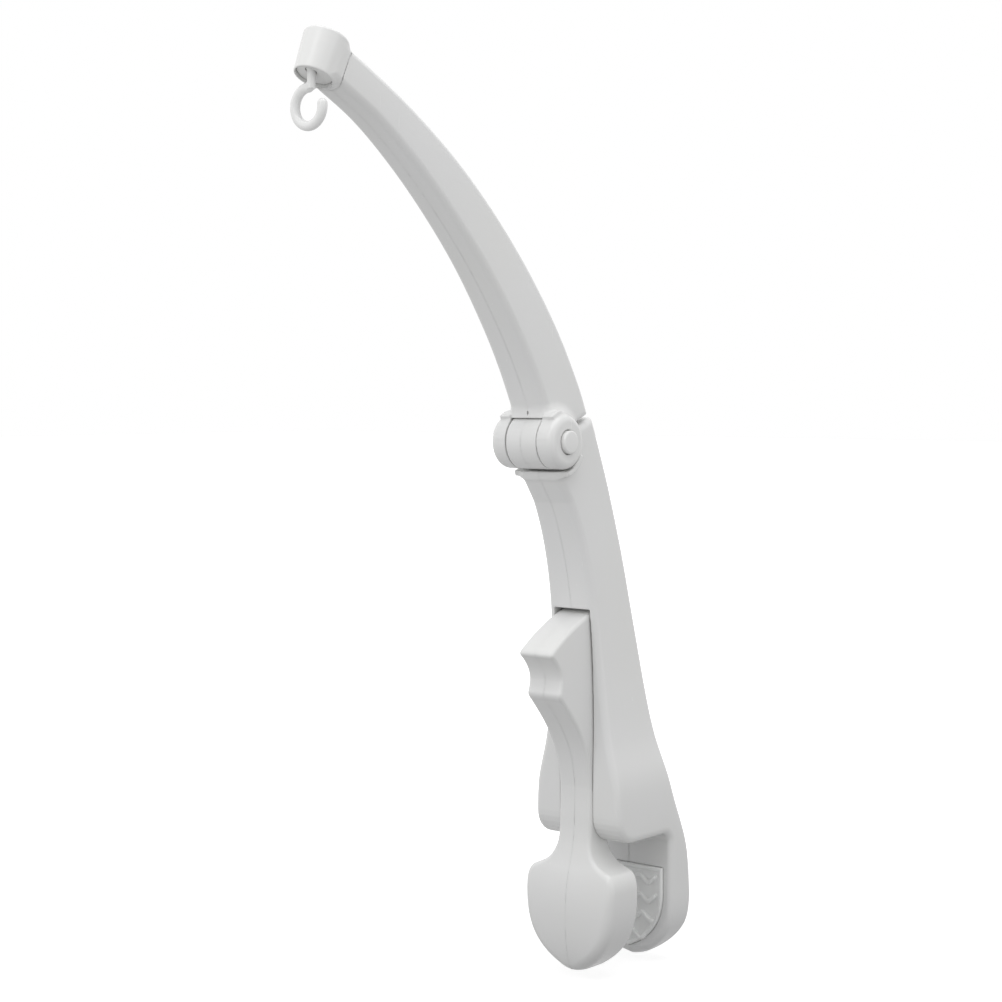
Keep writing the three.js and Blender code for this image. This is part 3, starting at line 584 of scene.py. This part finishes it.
def upper_arm(near):
    hollow_low, tip_low, tip_gap = 248.5, 380, 17
    axes = (
        spaced(36, 248, SHELL_CELL), spaced(-0.5, 23.5, SHELL_CELL, (SEAM, EAR_IN)),
        spaced(209, 426, SHELL_CELL),
    )
    x, y, z = open_grid(axes)
    arm = arm_block(x, y, z)
    distance = hinge_distance(x, z)
    outer = union(arm, common(distance - BARREL_R, y - EAR_OUT, EAR_EDGE), EAR_FILLET)
    above_hinge = outline_field([
        (30, 247.2), ARM_INNER, (HINGE_X, HINGE_Z), (110, 230), (260, 300), (260, 440), (30, 440),
    ], x, z)
    outer = common(outer, union(above_hinge, distance - BARREL_R), 0.5)
    outer = union(outer, np.maximum(cap_field(x, y, z), above_hinge), CAP_FILLET)
    outer = with_hinge_edges(outer, x, y, z)
    cavity = np.maximum(np.maximum(arm + WALL, BARREL_CLEAR_R + WALL - distance), hollow_low - z)
    # Above tip_low the arm is solid until tip_gap from the cap's axis.
    cavity = np.maximum(cavity, -tip_gap - cap_across(x, z) - OFF * (z < tip_low))
    solid = np.maximum(outer, -with_bosses(cavity, x, z, ARM_SCREWS))
    solid = cut(solid, np.maximum(distance - BARREL_CLEAR_R, y - EAR_IN), HOLE_EDGE)
    solid = cut(solid, ear_bore(distance, y, near), 0.35)
    if not near:
        solid = with_screw_holes(solid, x, y, z, ARM_SCREWS)
    return half_shell("upper_arm", solid, axes, near, CAP_JOINT - cap_split(x, y, z))


def tip_cap():
    """The hollow cap, with its share of the fillet, open at the bottom."""
    bore_top, hollow_r, hollow_top = 8.7, 9.0, 20.6
    axes = (spaced(218, 257, FINE_CELL), spaced(-14.2, 14.2, FINE_CELL), spaced(399, 434, FINE_CELL))
    x, y, z = open_grid(axes)
    height = cap_height(x, z)
    radius = np.hypot(cap_across(x, z), y)
    bore = np.maximum(radius - CAP_BORE, height - bore_top)
    hollow = common(radius - hollow_r - 0.04 * height, height - hollow_top, 2.4)
    skin = cut(tip_shape(x, np.abs(y), z), np.minimum(bore, hollow), 0.5)
    solid = np.maximum(skin, cap_split(x, y, z) + CAP_JOINT)
    return field_piece("tip_cap_moulding", solid, axes, shading=skin)


def cap_plug():
    """The plug in the cap's bottom, with the hook's socket."""
    middle, half, hole_r, flare = 5.0, 3.4, 2.4, 0.12
    axes = (spaced(229, 256, FINE_CELL), spaced(-9.8, 9.8, FINE_CELL), spaced(401, 419, FINE_CELL))
    x, y, z = open_grid(axes)
    height = cap_height(x, z)
    radius = np.hypot(cap_across(x, z), y)
    disc = common(radius - PLUG_R, np.abs(height - middle) - half, 0.5)
    away = np.hypot(x - HOOK_X, y)
    socket = np.hypot(away, z - BALL_Z) - SOCKET_R
    hole = np.maximum(away - hole_r - flare * np.maximum(BALL_Z - 2 - z, 0), z - BALL_Z)
    return field_piece("cap_plug_disc", cut(disc, np.minimum(socket, hole), HOLE_EDGE), axes)


def swivel_hook():
    """A C ring under a plumb stem with a ball, with its opening towards +Y."""
    wire, ring, stem, tip, aside, middle = 2.45, 9.15, 2.1, 0.1, -1.9, 391.9
    axes = (spaced(-3.4, 3.4, HOOK_CELL), spaced(-14.2, 10.6, HOOK_CELL), spaced(-12.4, 22.8, HOOK_CELL))
    x, y, z = open_grid(axes)
    across = y - aside
    angle = np.arctan2(z, across) % (2 * math.pi)
    along = np.hypot(np.hypot(across, z) - ring, x) - wire
    end_y, end_z = ring * math.cos(tip), ring * math.sin(tip)
    end = np.sqrt(x ** 2 + (across - end_y) ** 2 + (z - end_z) ** 2) - wire
    start = np.sqrt(x ** 2 + across ** 2 + (z - ring) ** 2) - wire
    is_open = (angle > tip) & (angle < math.pi / 2)
    body = np.where(is_open, np.minimum(end, start), along)
    ball_z = BALL_Z - middle
    shank = np.maximum(np.hypot(x, y) - stem, np.maximum(z - ball_z, ring - 0.6 - z))
    ball = np.sqrt(x ** 2 + y ** 2 + (z - ball_z) ** 2) - BALL_R
    solid = union(union(body, shank, 1.1), ball, 0.4)
    matrix = Matrix.Translation(Vector((HOOK_X, 0, middle)) * MM)
    return field_piece("swivel_hook_ring", solid.astype(np.float32), axes, matrix)


# ---------- hinge works ----------
def fold_button():
    edge, rise, low, bore_top = 1.1, 0.3, FLANGE_LOW, 20
    dome = [(r, BUTTON_FACE + rise * (1 - (r / 5.4) ** 2)) for r in (1.5, 3, 4.2, 5.0)]
    profile = [
        (0, BUTTON_FACE + rise), *dome, *reversed(arc(BUTTON_R - edge, BUTTON_FACE - edge, edge, 0, 84, 9)),
        (BUTTON_R, FLANGE_TOP), (FLANGE_R, FLANGE_TOP), (FLANGE_R, low),
        (AXLE_BORE, low), (AXLE_BORE, bore_top), (0, bore_top),
    ]
    return lathe("fold_button_moulding", profile, NEAR_AXLE)


def hinge_cap():
    """The far ear's cover, slightly domed."""
    radius, low, edge = 6.4, 19.5, 1.1
    profile = [
        (0, 22.9), (2.5, 22.83), *reversed(arc(5.3, 21.5, edge, 0, 78, 8)), (radius, low), (0, low),
    ]
    return lathe("hinge_cap_moulding", profile, FAR_AXLE)


# ---------- lower body ----------
def body_skin(x, y, z):
    """The lower body's outer shape without its knuckle or slot, with the lip under the ears."""
    flat = outline_field(body_outline(), x, z)
    block = common(flat, crowned_side(flat, y, z, BODY_WIDTH, 5), BODY_EDGE)
    over_all, lip_r, lip_side = 300, 19.7, 19.2
    hanging = outline_field(jaw_outline(JAW_HALF, over_all, JAW_LOW - 0.1, JAW_WAIST), y, z)
    lip = common(ring_sector(x, z, BARREL_CLEAR_R, lip_r, 3.32, 4.3), y - lip_side, 1.3)
    return union(common(block, hanging, 4.0), lip, 3.2)


def body_cavity(outer, slot_half, x, y, z):
    """The hollow of the lower body, with walls left round the lever's slot."""
    hollow_top, slot_back, jaw_top, jaw_slot = 203, 11, 2, 2
    slot = np.maximum(np.maximum(slot_back - x, z - SLOT_TOP - SLOT_WALL), y - slot_half - SLOT_WALL)
    cavity = np.maximum(cut(outer + WALL, slot), z - hollow_top)
    # Below jaw_top the hollow is only a slot jaw_slot wide behind the wall of the jaw's face.
    cavity = np.maximum(cavity, JAW_REAR_X - WALL - jaw_slot - x - OFF * (z > jaw_top))
    return with_bosses(cavity, x, z, BODY_SCREWS)


def knuckle_bore(distance, x, y, z):
    """The knuckle's hole, with grooves for the hub's splines and a wider mouth for its flange."""
    mouth, groove_half = 7.6, 1.9
    grooves = np.abs(np.sin(3 * np.arctan2(x - HINGE_X, z - HINGE_Z))) * distance / 3 - groove_half
    bore = np.minimum(distance - KNUCKLE_BORE, np.maximum(grooves, distance - HUB_SPLINE_R))
    return np.minimum(bore, np.maximum(distance - HUB_BORE, mouth - y))


def lower_body(near):
    knuckle_half = KNUCKLE_HALF if near else KNUCKLE_HALF - FAR_KNUCKLE_GAP
    axes = (
        spaced(-42, 91, SHELL_CELL), spaced(-0.5, 33, SHELL_CELL, (SEAM, knuckle_half)),
        spaced(-80, 246, SHELL_CELL),
    )
    x, y, z = open_grid(axes)
    distance = hinge_distance(x, z)
    outer = body_skin(x, y, z)
    slot_half = through(SLOT_HALF, z)
    solid = np.maximum(outer, -body_cavity(outer, slot_half, x, y, z))
    slot_side = outline_field([(100, SLOT_TOP), (9, SLOT_TOP), (9, 24), (15, -8), (100, -8)], x, z)
    solid = cut(solid, np.maximum(slot_side, y - slot_half), 0.7)
    pin_boss = np.maximum(pivot_cylinder(x, z, 5.5), np.abs(y - 17) - 5.4)
    solid = np.minimum(solid, pin_boss)
    solid = np.maximum(solid, -np.maximum(distance - BARREL_CLEAR_R, KNUCKLE_HALF + 0.3 - y))
    knuckle = common(distance - BARREL_R, y - knuckle_half, 0.35)
    groove = ring_sector(x, z, BARREL_R, BARREL_CLEAR_R + 0.5, 3.0, 3.7)
    solid = cut(union(solid, knuckle, 0.4), groove, 0.1)
    solid = np.maximum(solid, -knuckle_bore(distance, x, y, z))
    solid = np.maximum(solid, -np.maximum(pivot_cylinder(x, z, PIVOT_BORE), y - 18.5))
    solid = cut(solid, pad_pocket(x, y, z, JAW_REAR_X, 1), 0.5)
    if not near:
        solid = with_screw_holes(solid, x, y, z, BODY_SCREWS)
    return half_shell("lower_body", solid, axes, near)


# ---------- clamp lever ----------
def grip_outline():
    """The side of the grip and the neck, from the grip's top down its front and up the back."""
    nose = bezier((68.2, 114.2), (74.3, 110.6), (70.3, 108.2), count=14)
    return [
        *bezier((31, 132.7), (50, 127.2), (68.2, 114.2), count=24), *nose[1:],
        *bezier((70.3, 108.2), (63, 101.5), (62.8, 95.5), count=16)[1:],
        *bezier((62.8, 95.5), (63, 91.5), (64.4, 88.6), count=12)[1:],
        *bezier((64.4, 88.6), (65, 86), (62, 83.6), count=12)[1:],
        *bezier((62, 83.6), (45, 64.5), (33, 52.3), (35.4, 13.7), count=60)[1:],
        (35.4, -18), (20, -18), (20.4, 0),
        *bezier((20.4, 0), (20, 30), (16.5, 45), count=14)[1:],
        *bezier((16.5, 45), (14.5, 60), (19, 80), count=14)[1:],
        (28, 118),
    ]


def paddle_side():
    """The side of the lever's jaw, from its neck round its front to its lowest point."""
    low = -76.8
    return [
        (34.4, 30), *bezier((35.3, 16), (35.6, 0), (40.8, -15), count=20),
        *bezier((40.8, -15), (44, -25), (44.2, -40), count=20)[1:],
        *bezier((44.2, -40), (44.3, -62), (39.5, -72), count=20)[1:],
        *bezier((39.5, -72), (37, -76.6), (29, low), count=10)[1:],
        (4, low), (4, 30),
    ]


def paddle_front():
    """The shield shape of the lever's jaw, seen from the front."""
    half, neck = PADDLE_HALF, NECK_HALF
    one = [
        (neck - 0.1, 40), *bezier((neck, 8), (neck, -12), (20, -12), (27.2, -15.8), count=24),
        *bezier((27.2, -15.8), (31.2, -18.5), (half, -27), count=14)[1:],
        *bezier((half, -27), (half + 0.4, -46), (27.5, -60), (9.5, -71.5), count=40)[1:],
        *bezier((9.5, -71.5), (4.5, -75.6), (0, -75.9), count=8)[1:],
    ]
    return [*one, *[(-u, v) for u, v in reversed(one[:-1])]]


def lever_skin(x, y, z):
    """The lever's outer shape: the grip and neck, with the shield-shaped jaw under them."""
    grip_half = through([(12, NECK_HALF), (70, LEVER_HALF)], z)
    grip = common(outline_field(grip_outline(), x, z), y - grip_half, 2.0)
    shield = outline_field(paddle_front(), y, z)
    # The jaw is 5 percent thinner at y = 30, so its front is slightly domed.
    stretch = 1 + 0.05 * (y / 30) ** 2
    outer_face = outline_field(paddle_side(), JAW_FRONT_X + (x - JAW_FRONT_X) * stretch, z)
    edge = through([(-40, 5.6), (-26, 4.2), (-12, 2.2), (6, 2.0)], z)
    # Above the pad the jaw's inner face slopes forward by 3.4 mm over a height of 22 mm.
    inner_face = JAW_FRONT_X - x + 3.4 * np.clip((z + 14) / 22, 0, 1)
    paddle = common(common(outer_face, shield, edge), inner_face, 1.3)
    return union(grip, paddle, 1.5)


def lever(near):
    hollow_back, hollow_side, hollow_low = 19.2, 28, -70
    window_x, window_z, window_half, window_tall = 16, 53, 8, 13
    axes = (
        spaced(12, 76, SHELL_CELL), spaced(-0.5, 33.5, SHELL_CELL, (SEAM,)), spaced(-79, 135, SHELL_CELL),
    )
    x, y, z = open_grid(axes)
    outer = lever_skin(x, y, z)
    cavity = np.maximum(outer + LEVER_WALL, hollow_back - x)
    cavity = np.maximum(cavity, np.maximum(y - hollow_side, hollow_low - z))
    solid = np.maximum(outer, -with_bosses(cavity, x, z, LEVER_SCREWS))
    window = np.maximum(y - window_half, np.abs(z - window_z) - window_tall)
    window = np.maximum(np.abs(x - window_x) - window_half, window)
    solid = np.maximum(solid, -window)
    pin_boss = np.maximum(pivot_cylinder(x, z, 6.5), np.abs(y - 9.8) - 1.3)
    solid = np.minimum(solid, pin_boss)
    solid = np.maximum(solid, -pivot_cylinder(x, z, PIVOT_BORE))
    solid = cut(solid, pad_pocket(x, y, z, JAW_FRONT_X, -1), 0.5)
    if not near:
        solid = with_screw_holes(solid, x, y, z, LEVER_SCREWS)
    return half_shell("lever", solid, axes, near)


# ---------- jaw pads ----------
def jaw_pad(name, face_x, facing):
    """A soft pad with a raised rim and four rows of wavy ribs. facing is +1 if it looks along +X."""
    rows, first_drop, wave_height, rib_r = 4, 7.4, 1.9, 1.05
    base_half, rim_in, rim_half = 1.15, 1.1, 1.0
    axes = (spaced(-2, 3.6, 0.32), spaced(-25.6, 25.6, FINE_CELL), spaced(-71.6, -20.4, FINE_CELL))
    x, y, z = open_grid(axes)
    edge = outline_field(jaw_outline(PAD_HALF, PAD_TOP, PAD_BOTTOM, PAD_WAIST), y, z)
    base = common(edge, np.abs(x + 0.35) - base_half, 0.4)
    rim = common(np.abs(edge + rim_in) - rim_half, np.abs(x - 0.1) - PAD_PROUD + 0.1, 0.5)
    solid = union(base, rim, 0.5)
    for row in range(rows):
        middle = PAD_TOP - first_drop - row * RIB_PITCH
        half = 19.6 if row < 2 else 17.6 - (row - 2) * 5.4
        wave = middle + wave_height * np.sin((y + half) / RIB_WAVE * 2 * math.pi)
        line = np.hypot(np.maximum(np.abs(y) - half, 0), (z - wave) * 0.78) - rib_r
        rib = common(line.astype(np.float32), np.abs(x - 0.6) - PAD_PROUD - RIB_HEIGHT + 0.7, 0.75)
        solid = union(solid, rib, 0.6)
    places, faces, normals = surface(solid, axes)
    places[:, 0] = face_x + facing * places[:, 0]
    if facing < 0:
        normals = normals * np.array([-1, 1, 1])
        faces = faces[:, ::-1]
    return add_piece(name, places, faces, normals)


# ---------- screws ----------
def screw(name, node):
    """A pan head with a cross recess and a threaded shank, in the place of the CAD screw."""
    head_r, head_height, dome_r, blade_half, blade_reach, recess = 2.7, 1.8, 3.4, 0.42, 1.75, 1.25
    core_r, thread_r, half_pitch = 1.05, 1.4, 0.45
    low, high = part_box(node)
    at = middle_of(node)
    head, end = low.y / MM, high.y / MM
    axes = (
        spaced(-3.2, 3.2, SCREW_CELL), spaced(head - 0.4, head + 3.2, SCREW_CELL),
        spaced(-3.2, 3.2, SCREW_CELL),
    )
    x, y, z = open_grid(axes)
    away = np.hypot(x, z)
    dome = np.sqrt(away ** 2 + (y - head - dome_r) ** 2) - dome_r
    top = common(np.maximum(away - head_r, y - head - head_height), dome, 0.3)
    one = np.maximum(np.abs(x) - blade_half, np.abs(z) - blade_reach)
    two = np.maximum(np.abs(z) - blade_half, np.abs(x) - blade_reach)
    cross = np.maximum(np.minimum(one, two), y - (head + recess - 0.25 * away))
    places, faces, normals = surface(cut(top, cross, 0.1), axes)
    piece = add_piece(name, places + np.array([at.x, 0, at.z]), faces, normals)
    turns = np.arange(head + head_height, end - 1.6, half_pitch)
    thread = [(thread_r if n % 2 else core_r, step) for n, step in enumerate(turns)]
    profile = [(0, head + head_height - 0.1), *thread, (0.4, end - 0.1), (0, end)]
    matrix = Matrix.Translation(Vector((at.x, 0, at.z)) * MM) @ NEAR_AXLE.to_3x3().to_4x4()
    return piece, lathe(name + "_shank", profile, matrix, 24)


# ---------- materials ----------
def new_material(name):
    material = bpy.data.materials.new(name)
    material.use_nodes = True
    tree = material.node_tree
    return material, tree, tree.nodes["Principled BSDF"]


def add_node(tree, kind, **values):
    made = tree.nodes.new(kind)
    for key, value in values.items():
        if key in made.inputs:
            made.inputs[key].default_value = value
        else:
            setattr(made, key, value)
    return made


def noise(tree, coords, scale, detail=3.0, roughness=0.5):
    made = add_node(tree, "ShaderNodeTexNoise", Scale=scale, Detail=detail, Roughness=roughness)
    tree.links.new(coords, made.inputs["Vector"])
    return made.outputs["Fac"]


def mapped(tree, source, low, high, from_low=0.3, from_high=0.7):
    made = add_node(tree, "ShaderNodeMapRange", **{
        "From Min": from_low, "From Max": from_high, "To Min": low, "To Max": high,
    })
    tree.links.new(source, made.inputs["Value"])
    return made.outputs["Result"]


def blend(tree, factor, low, high):
    """A node that mixes the colours low and high by factor."""
    made = add_node(tree, "ShaderNodeMix", data_type="RGBA")
    made.inputs["A"].default_value = (*low, 1)
    made.inputs["B"].default_value = (*high, 1)
    tree.links.new(factor, made.inputs["Factor"])
    return made


def bump(tree, height, strength, distance, under=None):
    made = add_node(tree, "ShaderNodeBump", Strength=strength, Distance=distance)
    tree.links.new(height, made.inputs["Height"])
    if under is not None:
        tree.links.new(under, made.inputs["Normal"])
    return made.outputs["Normal"]


def tinted(color, most, blue):
    """The colour times most, and its blue times blue."""
    return (*[c * most for c in color[:2]], color[2] * blue)


def moulded_plastic(name, color, gloss):
    """Moulded plastic: fine skin texture, faint flow marks, hairline scratches, and painted shade that makes
    recesses darker and a little yellower.
    """
    material, tree, shader = new_material(name)
    coords = add_node(tree, "ShaderNodeTexCoord").outputs["Object"]
    broad = noise(tree, coords, 14, 3)
    cloud = noise(tree, coords, 60, 4, 0.6)
    skin = noise(tree, coords, 2600, 2, 0.6)
    shade = blend(tree, mapped(tree, broad, 0, 1), tinted(color, 0.985, 0.97), color)
    # Painted shade: an ambient-occlusion mask darkens the colour, a little towards yellow, in recesses and between
    # parts.
    occlusion_shade = add_node(tree, "ShaderNodeAmbientOcclusion", Distance=0.0035, samples=4)
    unshaded_share = mapped(tree, occlusion_shade.outputs["AO"], 0.0, 1.0, 0.15, 0.75)
    shaded_color = blend(tree, unshaded_share, tinted(color, 0.9, 0.88), color)
    tree.links.new(shade.outputs["Result"], shaded_color.inputs["B"])
    tree.links.new(shaded_color.outputs["Result"], shader.inputs["Base Color"])
    stretch = add_node(tree, "ShaderNodeMapping")
    stretch.inputs["Scale"].default_value = (900, 900, 35)
    tree.links.new(coords, stretch.inputs["Vector"])
    scratches = noise(tree, stretch.outputs["Vector"], 1, 2, 0.4)
    rough = add_node(tree, "ShaderNodeMath", operation="ADD")
    tree.links.new(mapped(tree, cloud, gloss - 0.03, gloss + 0.03), rough.inputs[0])
    tree.links.new(mapped(tree, scratches, 0.0, 0.05, 0.62, 0.75), rough.inputs[1])
    tree.links.new(rough.outputs["Value"], shader.inputs["Roughness"])
    fine = bump(tree, skin, 0.08, 0.00003)
    tree.links.new(bump(tree, cloud, 0.1, 0.0001, fine), shader.inputs["Normal"])
    shader.inputs["IOR"].default_value = 1.5
    return material


def soft_rubber(name, color):
    """Soft translucent pad material with a matt, slightly dusty skin."""
    material, tree, shader = new_material(name)
    coords = add_node(tree, "ShaderNodeTexCoord").outputs["Object"]
    broad = noise(tree, coords, 90, 4, 0.6)
    skin = noise(tree, coords, 1900, 3, 0.6)
    shade = blend(tree, mapped(tree, broad, 0, 1), tinted(color, 0.92, 0.92), color)
    tree.links.new(shade.outputs["Result"], shader.inputs["Base Color"])
    tree.links.new(mapped(tree, broad, 0.34, 0.5), shader.inputs["Roughness"])
    tree.links.new(bump(tree, skin, 0.25, 0.00006), shader.inputs["Normal"])
    shader.inputs["Subsurface Weight"].default_value = 0.35
    shader.inputs["Subsurface Radius"].default_value = (0.003, 0.003, 0.003)
    shader.inputs["Subsurface Scale"].default_value = 0.6
    shader.inputs["IOR"].default_value = 1.45
    return material


def plated_steel(name, color):
    """Zinc-plated steel with turning marks and dull patches."""
    material, tree, shader = new_material(name)
    coords = add_node(tree, "ShaderNodeTexCoord").outputs["Object"]
    patches = noise(tree, coords, 400, 4, 0.6)
    marks = noise(tree, coords, 5200, 2, 0.5)
    shade = blend(tree, mapped(tree, patches, 0, 1), tinted(color, 0.8, 0.8), color)
    tree.links.new(shade.outputs["Result"], shader.inputs["Base Color"])
    tree.links.new(mapped(tree, patches, 0.24, 0.42), shader.inputs["Roughness"])
    tree.links.new(bump(tree, marks, 0.3, 0.00003), shader.inputs["Normal"])
    shader.inputs["Metallic"].default_value = 1.0
    return material


WHITE = moulded_plastic("white_shell", (0.73, 0.732, 0.734), 0.22)
HOOK_WHITE = moulded_plastic("white_hook", (0.8, 0.802, 0.805), 0.2)
BUTTON_WHITE = moulded_plastic("white_button", (0.76, 0.762, 0.764), 0.2)
ACETAL = moulded_plastic("natural_acetal", (0.72, 0.72, 0.70), 0.45)
RUBBER = soft_rubber("pad_rubber", (0.86, 0.865, 0.86))
STEEL = plated_steel("plated_steel", (0.66, 0.67, 0.69))
MATERIALS = {
    "white_shell": WHITE, "white_hook": HOOK_WHITE, "white_button": BUTTON_WHITE,
    "inner_plastic": ACETAL, "pad_rubber": RUBBER, "steel": STEEL,
}


# ---------- assembly ----------
def place(piece, body, slot, *nodes):
    piece.data.materials.clear()
    piece.data.materials.append(MATERIALS[slot])
    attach(piece, body)
    if nodes:
        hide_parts(*nodes)


place(upper_arm(True), "upper_arm", "white_shell", "upper_arm_shell_right")
place(upper_arm(False), "upper_arm", "white_shell", "upper_arm_shell_left")
place(tip_cap(), "upper_arm", "white_shell", "tip_cap")
place(cap_plug(), "upper_arm", "white_shell", "cap_plug")
place(hinge_cap(), "upper_arm", "white_shell", "hinge_cap")
place(fold_button(), "button", "white_button", "fold_button")
place(swivel_hook(), "hook", "white_hook", "swivel_hook")
place(lower_body(True), "lower_body", "white_shell", "lower_body_shell_right")
place(lower_body(False), "lower_body", "white_shell", "lower_body_shell_left")
place(lever(True), "clamp_lever", "white_shell", "lever_shell_right")
place(lever(False), "clamp_lever", "white_shell", "lever_shell_left")
place(jaw_pad("rear_pad_moulding", JAW_REAR_X, 1), "lower_body", "pad_rubber", "rear_jaw_pad")
place(jaw_pad("front_pad_moulding", JAW_FRONT_X, -1), "clamp_lever", "pad_rubber", "front_jaw_pad")
for body, nodes in (("upper_arm", ARM_SCREWS), ("lower_body", BODY_SCREWS), ("clamp_lever", LEVER_SCREWS)):
    for cad_node in nodes:
        head, shank = screw(cad_node + "_head", cad_node)
        place(head, body, "steel", cad_node)
        place(shank, body, "steel")

slots = {part["node"]: part["material_slot"] for part in record["subparts"]}
for name, cad_object in frame["nodes"].items():
    cad_object.data.materials.clear()
    cad_object.data.materials.append(MATERIALS[slots[name]])


# ---------- stage: floor, light and camera ----------
def paper_sheet(name, middle_x, reach, height, shade, roughness, glow):
    """A square sheet of glowing paper that lies flat."""
    mesh = bpy.data.meshes.new(name)
    corners = [(middle_x + u * reach, v * reach, height) for u, v in ((-1, -1), (1, -1), (1, 1), (-1, 1))]
    mesh.from_pydata(corners, [], [(0, 1, 2, 3)])
    material, _, shader = new_material(name + "_paper")
    shader.inputs["Base Color"].default_value = (shade, shade, shade, 1)
    shader.inputs["Roughness"].default_value = roughness
    shader.inputs["Emission Color"].default_value = (1, 1, 1, 1)
    shader.inputs["Emission Strength"].default_value = glow
    mesh.materials.append(material)
    sheet = bpy.data.objects.new(name, mesh)
    bpy.context.scene.collection.objects.link(sheet)
    return sheet


def area_light(name, place_at, aim, size, power):
    light = bpy.data.lights.new(name, "AREA")
    light.shape = "RECTANGLE"
    light.size, light.size_y = size
    light.energy = power
    lamp = bpy.data.objects.new(name, light)
    lamp.location = place_at
    lamp.rotation_euler = (Vector(aim) - Vector(place_at)).to_track_quat("-Z", "Y").to_euler()
    bpy.context.scene.collection.objects.link(lamp)


def studio_world():
    """White light from all round, dimmer from below the horizon and from the button's side."""
    world = bpy.data.worlds.new("studio")
    bpy.context.scene.world = world
    world.use_nodes = True
    sky = world.node_tree
    direction = add_node(sky, "ShaderNodeTexCoord").outputs["Generated"]
    split = add_node(sky, "ShaderNodeSeparateXYZ")
    sky.links.new(direction, split.inputs["Vector"])
    strength = add_node(sky, "ShaderNodeMath", operation="MULTIPLY")
    sky.links.new(mapped(sky, split.outputs["Z"], 0.71, 1.0, -0.25, -0.02), strength.inputs[0])
    sky.links.new(mapped(sky, split.outputs["Y"], 1.0, 0.76, -0.3, 0.9), strength.inputs[1])
    background = sky.nodes["Background"]
    sky.links.new(strength.outputs["Value"], background.inputs["Strength"])
    background.inputs["Color"].default_value = (1, 1, 1, 1)


def photo_camera():
    """The camera at the photo's view, placed from the hinge by metres back, right and up."""
    turn, rise = math.radians(39.30), math.radians(3.01)
    go_back, go_right, go_up = 1.11998, -0.01995, -0.03261
    level = math.cos(rise)
    back = Vector((math.cos(turn) * level, math.sin(turn) * level, math.sin(rise)))
    right = Vector((-math.sin(turn), math.cos(turn), 0))
    up = back.cross(right)
    lens = bpy.data.cameras.new("camera")
    lens.lens = 73.16
    lens.sensor_width = 36
    camera = bpy.data.objects.new("camera", lens)
    at = Vector((HINGE_X, 0, HINGE_Z)) * MM + go_back * back + go_right * right + go_up * up
    camera.matrix_world = Matrix.Translation(at) @ Matrix((right, up, back)).transposed().to_4x4()
    bpy.context.scene.collection.objects.link(camera)
    bpy.context.scene.camera = camera


FLOOR_Z = cad_box[0].z - 0.0005
floor = paper_sheet("floor", 0, 12.0, FLOOR_Z, 0.95, 0.9, 0.6)
floor.visible_diffuse = False
floor.visible_glossy = False

# Only bounced light sees the card, which makes the light from below greyer.
card = paper_sheet("grey_card", 0.03, 0.26, FLOOR_Z + 0.0002, 0.02, 0.95, 0.3)
card.visible_camera = False
card.visible_glossy = False
card.visible_shadow = False
card.visible_transmission = False

studio_world()
TARGET = (0.07, 0, 0.2)
area_light("front_softbox", (1.1, 0.08, 0.85), TARGET, (0.4, 0.75), 1.4)
area_light("top_softbox", (0.2, 0.2, 1.5), TARGET, (1.2, 1.2), 7)
area_light("side_strip", (0.13, 1.25, 0.32), TARGET, (0.1, 1.1), 0.9)
photo_camera()
bpy.context.scene.view_settings.view_transform = "Standard"
